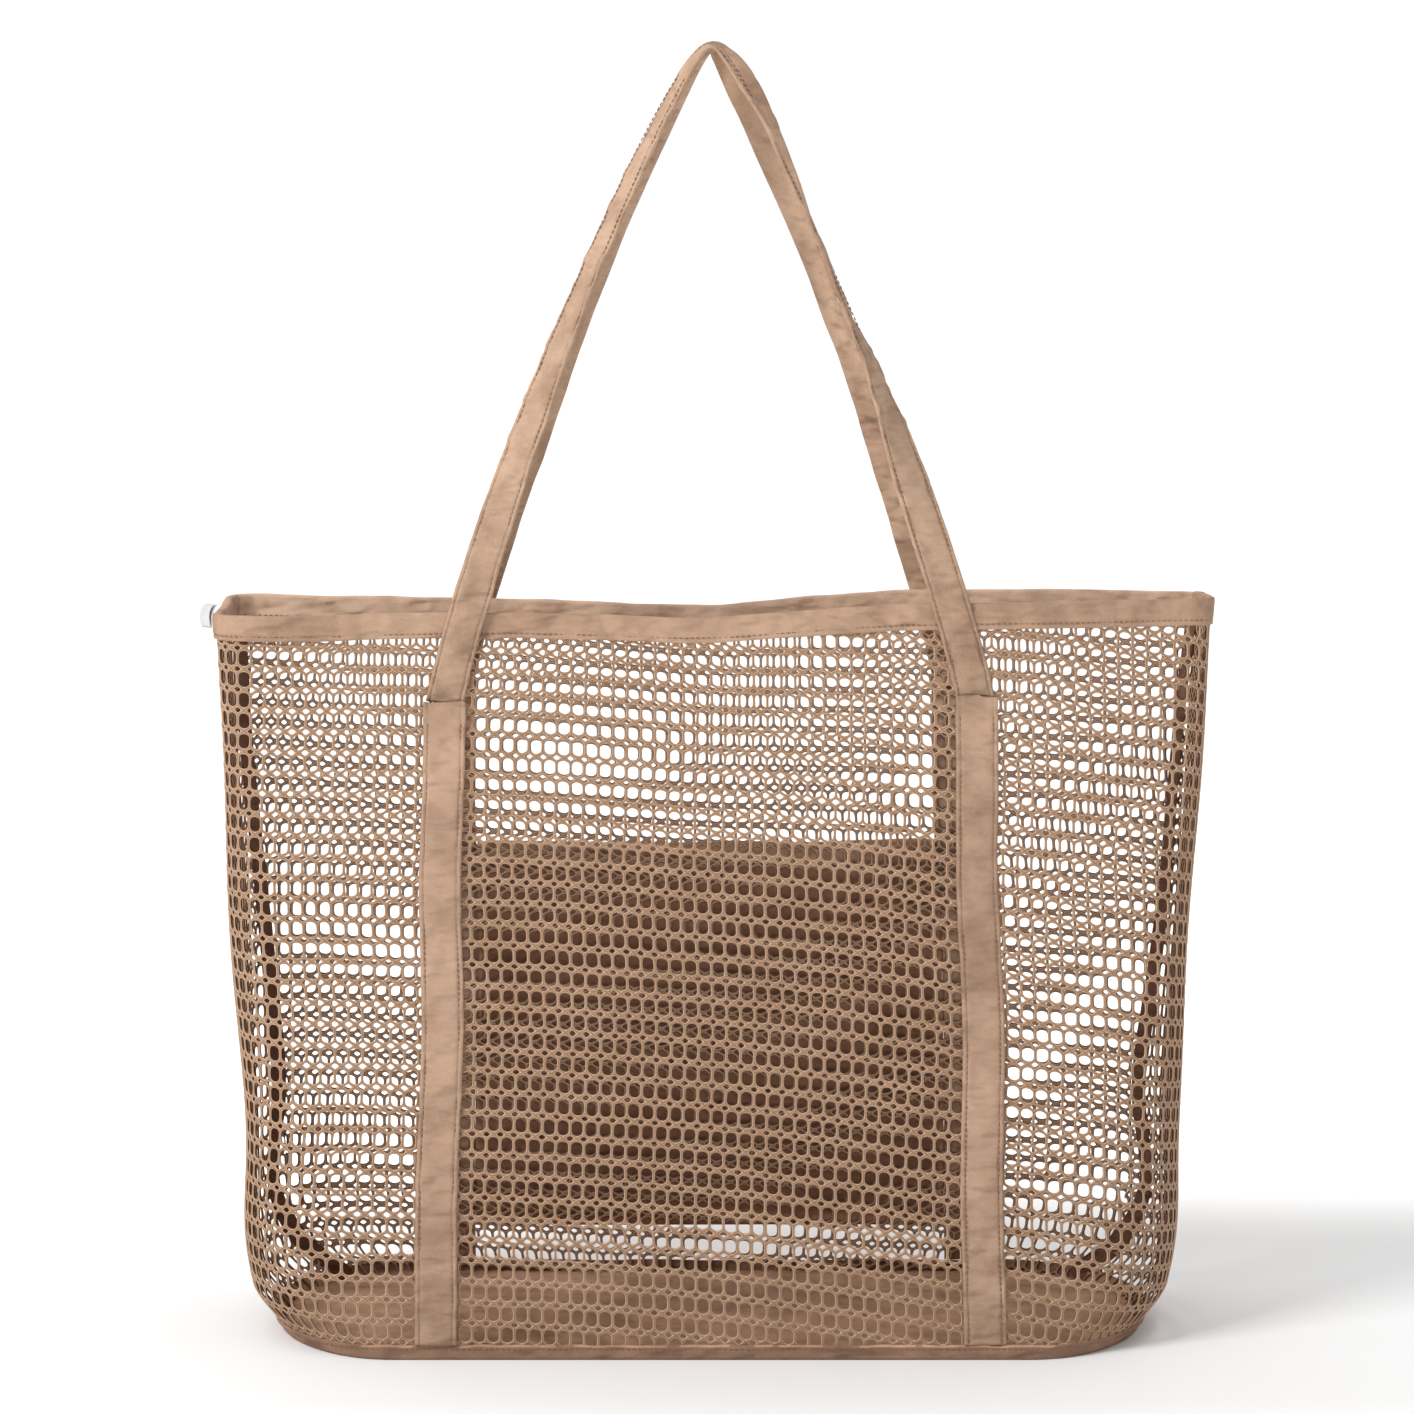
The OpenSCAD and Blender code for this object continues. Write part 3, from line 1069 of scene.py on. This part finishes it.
@dataclass
class Rim:
    """The tape folded over the knit's upper edge, sewn through near its lower edge."""

    shape: BagShape
    tall: float = 12.5 * MM
    step: float = 1.8 * MM
    sewn: float = 10.2 * MM

    def section(self) -> Array:
        """The tape's section as (out from the cloth, below the rim), in millimetres: over the top and round."""
        outer = [(0.5, 0.0), (1.15, 0.3), (1.4, 1.2), (1.35, 3.2), (1.3, 5.5), (1.3, 7.8), (1.2, 9.4)]
        outer += [(0.85, 10.2), (1.15, 11.0), (1.1, 12.0), (0.7, 12.5)]
        inner = [(-1.4, 12.4), (-2.2, 11.9), (-2.2, 10.2), (-2.5, 7.0), (-2.5, 4.0), (-2.5, 1.2), (-2.1, 0.25)]
        return np.array([*outer, *inner, (-0.8, -0.1)])

    def stretch(self, name: str, start: float, end: float, seed: int) -> bpy.types.Object:
        """One length of tape from start to end, both as lengths round the bag from the middle of the front."""
        shape = self.shape
        way = shape.way_at(shape.height)
        s = np.linspace(start, end, max(2, round((end - start) / self.step)))[:, None]
        out, below = self.section().T * MM
        fold = Ripple(seed, 4.2 * MM, 30 * MM).at(s, below[None, :])
        pucker = Ripple(seed + 1, 8 * MM, 9 * MM).at(s + below[None, :] * 0.4, below[None, :])
        roll = Ripple(seed + 2, 30 * MM, 1.0).at(s, 0.0)
        face = np.where(out > 0, 1.0, -1.0)[None, :]
        low = ease(below / self.tall)[None, :]
        lift = (0.34 * fold * (0.35 + low) + 0.38 * pucker) * MM * face + roll * 0.35 * MM
        wave = 0.35 * MM * Ripple(seed + 3, 15 * MM, 1.0).at(s, 0.0)
        z = shape.height - below[None, :] + wave
        # The back length takes the tape's lighter copy, painted light.
        finish = Finish.BINDING if start < 0 else Finish.LIT_BACK_BINDING
        return loft(name, shape.place(s / way, z, out[None, :] + lift), finish)

    def stitches(self) -> list[Track]:
        """The row of stitches, outside and inside."""
        shape = self.shape
        way = shape.way_at(shape.height)
        f = np.linspace(-1.0, 1.0, 1100)
        z = shape.height - self.sewn
        rows = []
        for off in (1.12 * MM, -2.35 * MM):
            points = shape.place(f, z, off)
            rows.append(Track(points, unit(shape.place(f, z, off * 2) - points)))
        log.info("rim: %.3f m round", 2 * way)
        return rows

    def build(self, stitcher: Stitcher) -> None:
        """Front and back lengths, meeting at the side seams."""
        shape = self.shape
        way = shape.way_at(shape.height)
        seam = float(shape.seam(np.array(shape.height)))
        for name, start, end, seed in (
            ("rim_tape_front", -seam, seam, 31),
            ("rim_tape_back", seam, 2 * way - seam, 47),
        ):
            ends = ("front", "left", "right") if name.endswith("front") else ("back",)
            nodes = tuple(f"rim_binding_{end}" for end in ends)
            Piece(self.stretch(name, start, end, seed), "binding", ROOT, nodes).settle()
        Piece(stitcher.sew("stitches_rim", self.stitches()), "binding").settle()


@dataclass
class Straps:
    """The four straps sewn up the body, each with its end folded over a handle's end."""

    shape: BagShape
    wide: float
    thick: float
    fold_z: float
    gap: float

    @classmethod
    def from_frame(cls, shape: BagShape) -> "Straps":
        """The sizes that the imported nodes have."""
        low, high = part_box("handle_front")
        return cls(shape, wide=20 * MM, thick=2.0 * MM, fold_z=low.z - 0.2 * MM, gap=high.x - low.x - 18 * MM)

    def middle(self, z: Array) -> Array:
        """A strap's distance from the bag's middle at height z."""
        return self.gap / 2 + 4.5 * MM * (1 - z / self.fold_z)

    def track(self, side: int, is_back: bool) -> Track:
        """A strap's middle line, from the base seam to the fold."""
        return self.lay(side, is_back, 7.2 * MM, self.fold_z - 3.4 * MM, 0.05 * MM + self.thick / 2)

    def lay(self, side: int, is_back: bool, low: float, high: float, off: float | Array) -> Track:
        """A line up a strap from height low to high, standing off from the cloth."""
        z = np.linspace(low, high, 260)
        x = side * self.middle(z)
        wall = self.shape.back if is_back else self.shape.front
        near, far = wall(x, z, off), wall(x, z, off + 8 * MM)
        return Track(near, unit(far - near))

    def fold(self, name: str, line: Track, body: str, seed: int) -> None:
        """The strap's end folded over the handle's."""
        band = Band(self.wide, 1.0 * MM, 0.22 * MM, seed, step=0.7 * MM, ragged=1.1 * MM)
        cover = band.build(name, line, Finish.STRAP)
        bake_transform(cover)

    def build(self, stitcher: Stitcher) -> None:
        """All four straps and their stitches."""
        rows = []
        for place, is_back in (("front", False), ("back", True)):
            for word, side in (("left", -1), ("right", 1)):
                seed = 100 + 10 * side + (5 if is_back else 0)
                band = Band(self.wide, self.thick, 0.65 * MM, seed)
                track = self.track(side, is_back)
                obj = band.build(f"strap_{place}_{word}_cloth", track, Finish.STRAP)
                Piece(obj, "webbing", ROOT, (f"strap_{place}_{word}",)).settle()
                rows += band.rows(track)
                rise = 1.1 * MM + 2.2 * MM * ease(np.linspace(0, 1.5, 260))
                end = self.lay(side, is_back, self.fold_z - 9 * MM, self.fold_z + 2.6 * MM, rise)
                self.fold(f"strap_fold_{place}_{word}", end, f"{place}_handle", seed + 3)
        Piece(stitcher.sew("stitches_straps", rows), "webbing").settle()


@dataclass
class Handle:
    """One carrying handle: a band that stands in a pointed arch and turns edge-on near its top."""

    node: str
    body: str
    is_back: bool
    wide: float = 18 * MM
    thick: float = 2.2 * MM
    tip: float = 5 * MM

    def line(self) -> Track:
        """The handle's middle line and the way it faces, from its left end to its right end."""
        low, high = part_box(self.node)
        face = 1.0 if self.is_back else -1.0
        anchor = (high.x - low.x) / 2 - self.wide / 2
        pivot = next(j for j in frame["joints"] if j["child"] == self.body)["pos_m"]
        v = np.linspace(-1, 1, 1601)
        x = anchor * np.sign(v) * np.abs(v) ** 1.4
        rise = lambda d: np.maximum(0, 1 - (np.hypot(d, self.tip) / math.hypot(anchor, self.tip)) ** 1.176) ** 0.87
        k = rise(x) / rise(0.0)
        apart = 11 * MM
        y = face * (abs(pivot[1]) + (apart - abs(pivot[1])) * k)
        z = low.z + (high.z - 1.2 * MM - low.z) * k
        if self.is_back:
            x = x - 6.5 * MM * ease((v - 0.2) / 0.42) + 2.5 * MM * ease(-v / 0.3) * ease((1 + v) / 0.3)
        points = np.stack([x, y, z], axis=1)
        t = unit(np.gradient(points, axis=0))
        out = unit(np.cross(t, np.cross(np.array([0, face, 0.1]), t)))
        inner = np.cross(out, t)
        turn = np.radians(self.twist(v))
        turned = out * np.cos(turn)[:, None] - face * inner * np.sin(turn)[:, None]
        return Track(points, turned)

    def twist(self, v: Array) -> Array:
        """How far the band has turned on itself, in degrees, at v from -1 (left end) to 1 (right end)."""
        if self.is_back:
            turns = {-1: 0, -0.92: 4, -0.8: 26, -0.6: 52, -0.3: 64, 0: 74, 0.1: 58, 0.24: 24, 0.38: 30, 0.55: 60}
            turns |= {0.66: 57, 0.78: 34, 0.92: 4, 1: 0}
        else:
            turns = {-1: 0, -0.94: 2, -0.8: 32, -0.6: 56, -0.3: 68, 0: 78, 0.3: 84, 0.56: 85, 0.66: 76, 0.74: 55}
            turns |= {0.83: 14, 0.92: 2, 1: 0}
        sharp = np.interp(v, list(turns), list(turns.values()))
        half = 60
        padded = np.pad(sharp, half, mode="edge")
        window = np.hanning(2 * half + 1)
        return np.convolve(padded, window / window.sum(), mode="valid")

    def build(self, stitcher: Stitcher) -> None:
        """The handle and its stitches."""
        track = self.line()
        band = Band(self.wide, self.thick, 0.8 * MM, 211 if self.is_back else 203, flat_ends=12 * MM)
        word = "back" if self.is_back else "front"
        log.info("handle_%s: %.3f m long", word, track.length())
        obj = band.build(f"handle_{word}_cloth", track, Finish.HANDLE)
        Piece(obj, "handle_band", self.body, (self.node,)).settle()
        Piece(stitcher.sew(f"stitches_handle_{word}", band.rows(track, 9 * MM)), "handle_band", self.body).settle()


@dataclass
class Base:
    """The cloth floor, turned up outside the knit all round."""

    shape: BagShape
    lip: float = 7 * MM
    thick: float = 1.2 * MM

    def build(self, stitcher: Stitcher) -> None:
        """The floor as one closed sheet with shallow creases."""
        shape = self.shape
        f = np.linspace(-1, 1, 361)[:-1]
        scale = np.linspace(0.02, 0.985, 40)
        edge = shape.place(f, 0.0, 0.0)
        out = 0.05 * MM + self.thick

        def floor(share: float, top: bool) -> Array:
            """One ring of the floor, its height by the creases."""
            flat = edge * share
            x, y = flat[:, 0], flat[:, 1]
            soft = Ripple(61, 34 * MM, 26 * MM).at(x + 0.4 * y, y)
            fine = Ripple(62, 11 * MM, 15 * MM).at(x, y + 0.2 * x)
            ridge = bell((y + 0.018 + 0.06 * (x - 0.02)) / 0.004) * ease((0.16 - np.abs(x - 0.02)) / 0.05)
            inside = ease((1 - share) / 0.25)
            rise = (0.9 + 0.9 * soft + 0.35 * fine + 2.6 * ridge) * inside * MM
            flat[:, 2] = np.maximum(rise, 0) + (self.thick if top else 0.0)
            return flat

        rings = [floor(share, False) for share in scale]
        low = lambda z, off: shape.place(f, z, off)
        rings += [low(0.0, out - 1.1 * MM), low(0.35 * MM, out - 0.3 * MM), low(1.3 * MM, out)]
        wavy = self.lip + 0.4 * MM * Ripple(63, 9 * MM, 1.0).at(f * shape.way_at(0.0), 0.0)
        bulge = 0.25 * MM * Ripple(64, 6 * MM, 1.0).at(f * 0.52, 0.0)
        rings += [low(z * MM, out + bulge) for z in (2.6, 4.2)]
        rings += [low(wavy - 1.0 * MM, out + bulge * 0.5 - 0.1 * MM), low(wavy, out - 0.5 * MM), low(wavy, 0.1 * MM)]
        rings += [low(3.0 * MM, 0.02 * MM), low(self.thick + 0.1 * MM, 0.0)]
        rings += [floor(share, True) for share in scale[::-1]]
        obj = loft("base_cloth", np.stack(rings), Finish.BASE)
        recalculate(obj.data)
        # Faces that look up take the base cloth's lighter copy, painted light; the rest keep the darker copy, painted
        # shade.
        paint_light_on_top_faces(obj.data)
        self.flat_map(obj.data)
        nodes = ("base_panel", *(f"base_edge_{side}" for side in ("front", "left", "right", "back")))
        Piece(obj, "base_cloth", ROOT, nodes).settle()
        flat = (shape.base_w + 2 * self.lip, shape.base_d + 2 * self.lip)
        corners = (4 - math.pi) * (shape.base_r + self.lip) ** 2
        flat[0] * flat[1] - corners
        points = low(5.2 * MM, out + 0.05 * MM)
        track = Track(np.vstack([points, points[:1]]), unit(low(5.2 * MM, 9 * MM) - points)[[*range(len(f)), 0]])
        Piece(stitcher.sew("stitches_base", [track]), "base_cloth").settle()

    def flat_map(self, mesh: bpy.types.Mesh) -> None:
        """Maps the floor straight down, with its turned-up edge let out."""
        x, y, z = points_of(mesh).T
        map_corners(mesh, mesh.uv_layers["cloth"], np.stack([x, y + z], axis=1))


@dataclass
class Pocket:
    """The slip pocket sewn outside the back wall between the straps, with a hem along its mouth."""

    shape: BagShape
    low: float
    high: float
    wide: float
    straps: Straps
    room: float = 3.2 * MM
    thick: float = 1.0 * MM
    hem: float = 13 * MM

    @classmethod
    def from_frame(cls, shape: BagShape) -> "Pocket":
        """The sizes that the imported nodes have."""
        low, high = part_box("pocket_panel")
        _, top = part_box("pocket_hem")
        return cls(shape, low=low.z, high=top.z, wide=high.x - low.x, straps=Straps.from_frame(shape))

    def half(self, z: Array) -> Array:
        """Half its width at height z, up to the straps' edges."""
        return self.straps.middle(z) - self.straps.wide / 2

    def off(self, x: Array, z: Array) -> Array:
        """How far out from the back cloth's outer face the pocket's inner face lies."""
        side = ease((self.half(z) - np.abs(x)) / (9 * MM))
        foot = ease((z - self.low) / (14 * MM))
        soft = Ripple(71, 38 * MM, 60 * MM).at(x + 0.3 * z, z) + 0.5 * Ripple(72, 13 * MM, 30 * MM).at(x, z)
        belly = (self.room - 0.4 * MM) * side * foot * (0.6 + 0.4 * ease((z - self.low) / (self.high - self.low)))
        return 0.25 * MM + belly + 0.8 * MM * soft * side * foot

    def sheet(self) -> bpy.types.Object:
        """The pocket's cloth as one closed sheet."""
        share = np.linspace(-1, 1, 131)
        z = np.linspace(self.low, self.high - 1.3 * MM, 101)
        gx, gz = np.meshgrid(share, z, indexing="ij")
        gx = gx * self.half(gz)
        off = self.off(gx, gz)
        near = self.shape.back(gx, gz, off + self.thick)
        far = self.shape.back(gx, gz, off)
        rings = np.concatenate([near, far[:, ::-1]], axis=1)
        return loft("pocket_cloth_panel", rings[::-1], Finish.POCKET)

    def hem_tape(self) -> bpy.types.Object:
        """The tape folded over the mouth."""
        half = self.half(self.high) - 0.5 * MM
        x = np.linspace(-half, half, 150)[:, None]
        below = np.array([0, 0.25, 1.2, 5, 9.5, 11, 12.6, 13, 12.8, 9, 5, 1.2, 0.25]) * MM
        out = np.array([0, 0.6, 0.9, 0.9, 0.9, 0.75, 0.8, 0.2, -1.7, -1.8, -1.8, -1.8, -1.3]) * MM
        z = self.high - below[None, :] * self.hem / (13 * MM)
        base = self.off(x, z) + self.thick
        pucker = 0.25 * MM * Ripple(73, 5 * MM, 12 * MM).at(x, z) * np.sign(out + 0.4 * MM)[None, :]
        wave = 0.5 * MM * Ripple(74, 28 * MM, 1.0).at(x, 0.0)
        rings = self.shape.back(x + 0 * z, z + wave, base + out[None, :] + pucker)
        return loft("pocket_hem_tape", rings, Finish.HEM)

    def rows(self) -> list[Track]:
        """The stitches: under the hem, and down both sides and along the foot."""
        low, high = self.low + 2.5 * MM, self.high - self.hem + 2 * MM
        level = np.linspace(-1, 1, 130) * (self.half(self.high) - 2.5 * MM)
        rise = np.linspace(low, self.high - 15 * MM, 110)
        side = self.half(rise) - 2.5 * MM
        found = []
        for x, z, proud in (
            (level, np.full_like(level, high), 0.95 * MM),
            (level, np.full_like(level, low), 0.05 * MM),
            (-side, rise, 0.05 * MM),
            (side, rise, 0.05 * MM),
        ):
            points = self.shape.back(x, z, self.off(x, z) + self.thick + proud)
            found.append(Track(points, unit(self.shape.back(x, z, 14 * MM) - points)))
        return found

    def build(self, stitcher: Stitcher) -> None:
        """The cloth, its hem and its stitches."""
        sheet = self.sheet()
        hem = self.hem_tape()
        Piece(sheet, "pocket_cloth", ROOT, ("pocket_panel",)).settle()
        Piece(hem, "hem_tape", ROOT, ("pocket_hem",)).settle()
        sewn = stitcher.sew("stitches_pocket", self.rows())
        Piece(sewn, "hem_tape").settle()
        size = (self.wide, self.high - self.low)


@dataclass
class SeamTapes:
    """The tapes sewn inside over the two side seams."""

    shape: BagShape
    wide: float = 10 * MM
    thick: float = 0.9 * MM

    def build(self) -> None:
        """Both tapes."""
        shape = self.shape
        z = np.linspace(2.5 * MM, shape.height - 12 * MM, 240)
        s = shape.seam(z) - 14 * MM * bell((z - 0.055) / 0.035)
        for word, side in (("left", -1), ("right", 1)):
            f = side * s / shape.half_way(z)
            near = shape.place(f, z, -1.9 * MM)
            out = unit(shape.place(f, z, 3 * MM) - near)
            band = Band(self.wide, self.thick, 0.2 * MM, 300 + side)
            # The tape's darker colour is painted shade.
            obj = band.build(f"seam_tape_{word}_cloth", Track(near, -out), Finish.SHADED_TAPE)
            Piece(obj, "seam_tape", ROOT, (f"seam_tape_{word}",)).settle()


@dataclass
class Label:
    """A small blank ribbon folded double and caught in the rim tape."""

    thick: float = 0.28 * MM

    def build(self) -> None:
        """The ribbon, bent over the rim's end and hanging beside it."""
        low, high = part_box("side_label")
        pin = Vector((high.x + 1.2 * MM, (low.y + high.y) / 2, high.z - 0.6 * MM))
        long, half = 11.5 * MM, 3.8 * MM
        t = np.linspace(-1, 1, 61)
        run = 1 - np.abs(t)
        apart = np.sign(t) * 0.9 * MM * np.sin(np.pi * np.clip(run, 0, 1)) ** 0.6
        reach = 3.2 * MM * np.sin(run * 1.9) + apart
        drop = 1.1 * MM * np.sin(run * 2.6) - long * run**1.5
        swing = np.array([0.62, -0.78])
        spine = np.stack([pin.x - reach, pin.y + 0 * t, pin.z + drop], axis=1)
        normal = unit(np.stack([np.gradient(drop), 0 * t, np.gradient(reach)], axis=1)) * self.thick / 2
        ring = []
        for sign in (1, -1):
            for share in np.linspace(-1, 1, 9) * sign:
                crumple = 0.25 * MM * math.sin(2.3 * share) * run
                shift = np.stack([share * half * swing[0] + crumple, share * half * swing[1] + 0 * t, 0 * t], axis=1)
                ring.append(spine + normal * sign + shift)
        obj = loft("label_ribbon_fold", np.stack(ring, axis=1), Finish.LABEL)
        recalculate(obj.data)
        Piece(obj, "label", ROOT, ("side_label",)).settle()


# ---------------------------------------------------------------- floor, light and camera


@dataclass(frozen=True)
class Studio:
    """A pale floor that glows away from the bag as painted light, soft light from the front left and from above, and
    the camera in front of the bag.
    """

    distance: float = 1.825
    eye_z: float = 0.535
    pitch: float = 7.25
    lens: float = 96.7
    eye_x: float = -0.0017
    floor_r: float = 15.0
    dim: float = 0.3
    bright: float = 1.03
    glow: float = 0.42

    def floor(self) -> None:
        """A wide pale floor that glows everywhere but round the bag: painted light."""
        mesh = bpy.data.meshes.new("floor")
        r = self.floor_r
        mesh.from_pydata([(-r, -r, 0), (r, -r, 0), (r, r, 0), (-r, r, 0)], [], [(0, 1, 2, 3)])
        obj = bpy.data.objects.new("floor", mesh)
        bpy.context.scene.collection.objects.link(obj)
        sh = Shader("pale_floor")
        place = sh.node("ShaderNodeTexCoord").out("Object")
        split = sh.node("ShaderNodeSeparateXYZ", {}, {0: place})
        beside = (split.out(0).abs() - 0.15).band(0.0, 4.0) * 4.0
        away = ((beside * beside) + (split.out(1) * split.out(1))) ** 0.5
        # The glow is painted light: none near the bag, full from a little way off.
        lit = sh.mix(away.band(0.13, 0.3), (0, 0, 0, 1), (1, 1, 1, 1))
        surface = sh.node(
            "ShaderNodeBsdfPrincipled",
            {},
            {
                "Base Color": (0.9, 0.9, 0.9, 1),
                "Roughness": 0.95,
                "Specular IOR Level": 0.0,
                "Emission Color": lit,
                "Emission Strength": self.glow,
            },
        )
        sh.node("ShaderNodeOutputMaterial", {}, {"Surface": surface.out()})
        mesh.materials.append(sh.material)

    def lights(self) -> None:
        """A surround that is brighter behind the bag than in front of it, and three soft lamps."""
        world = bpy.data.worlds.new("surround")
        bpy.context.scene.world = world
        world.use_nodes = True
        nodes, links = world.node_tree.nodes, world.node_tree.links
        nodes["Background"].inputs["Strength"].default_value = 1.0
        where = nodes.new("ShaderNodeTexCoord")
        split = nodes.new("ShaderNodeSeparateXYZ")
        ramp = nodes.new("ShaderNodeValToRGB")
        ramp.color_ramp.elements[0].position, ramp.color_ramp.elements[0].color = 0.15, (*[self.dim] * 3, 1)
        ramp.color_ramp.elements[1].position, ramp.color_ramp.elements[1].color = 0.75, (*[self.bright] * 3, 1)
        shift = nodes.new("ShaderNodeMath")
        shift.operation = "MULTIPLY_ADD"
        shift.inputs[1].default_value, shift.inputs[2].default_value = 0.5, 0.5
        links.new(where.outputs["Generated"], split.inputs[0])
        links.new(split.outputs["Y"], shift.inputs[0])
        links.new(shift.outputs[0], ramp.inputs[0])
        links.new(ramp.outputs[0], nodes["Background"].inputs["Color"])
        for name, place, power, size in (
            ("key", (-1.7, -1.3, 2.0), 52.0, 0.9),
            ("fill", (1.7, -1.6, 1.2), 3.0, 1.6),
            ("top", (0.0, 0.1, 2.8), 6.0, 2.6),
        ):
            lamp = bpy.data.lights.new(name, "AREA")
            lamp.energy, lamp.size = power, size
            obj = bpy.data.objects.new(name, lamp)
            obj.location = place
            obj.rotation_euler = (Vector((0, 0, 0.25)) - Vector(place)).to_track_quat("-Z", "Y").to_euler()
            bpy.context.scene.collection.objects.link(obj)

    def camera(self) -> None:
        """The camera, level and looking slightly down."""
        data = bpy.data.cameras.new("camera")
        data.sensor_width = 36
        data.lens = self.lens
        obj = bpy.data.objects.new("camera", data)
        obj.location = (self.eye_x, -self.distance, self.eye_z)
        obj.rotation_euler = (math.radians(90 - self.pitch), 0, 0)
        bpy.context.scene.collection.objects.link(obj)
        bpy.context.scene.camera = obj

    def build(self) -> None:
        """All of it, with plain display of colours."""
        self.camera()
        self.floor()
        self.lights()
        bpy.context.scene.view_settings.view_transform = "Standard"


def main() -> None:
    """Builds the whole bag and its studio."""
    logging.basicConfig(level=logging.INFO, format="%(message)s")
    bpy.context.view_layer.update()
    Studio().build()
    shape = BagShape.from_frame()
    stitcher = Stitcher()
    NetPanels(shape).build()
    Rim(shape).build(stitcher)
    Straps.from_frame(shape).build(stitcher)
    Handle("handle_front", "front_handle", False).build(stitcher)
    Handle("handle_back", "back_handle", True).build(stitcher)
    Base(shape).build(stitcher)
    Pocket.from_frame(shape).build(stitcher)
    SeamTapes(shape).build()
    Label().build()


if __name__ == "__main__":
    main()
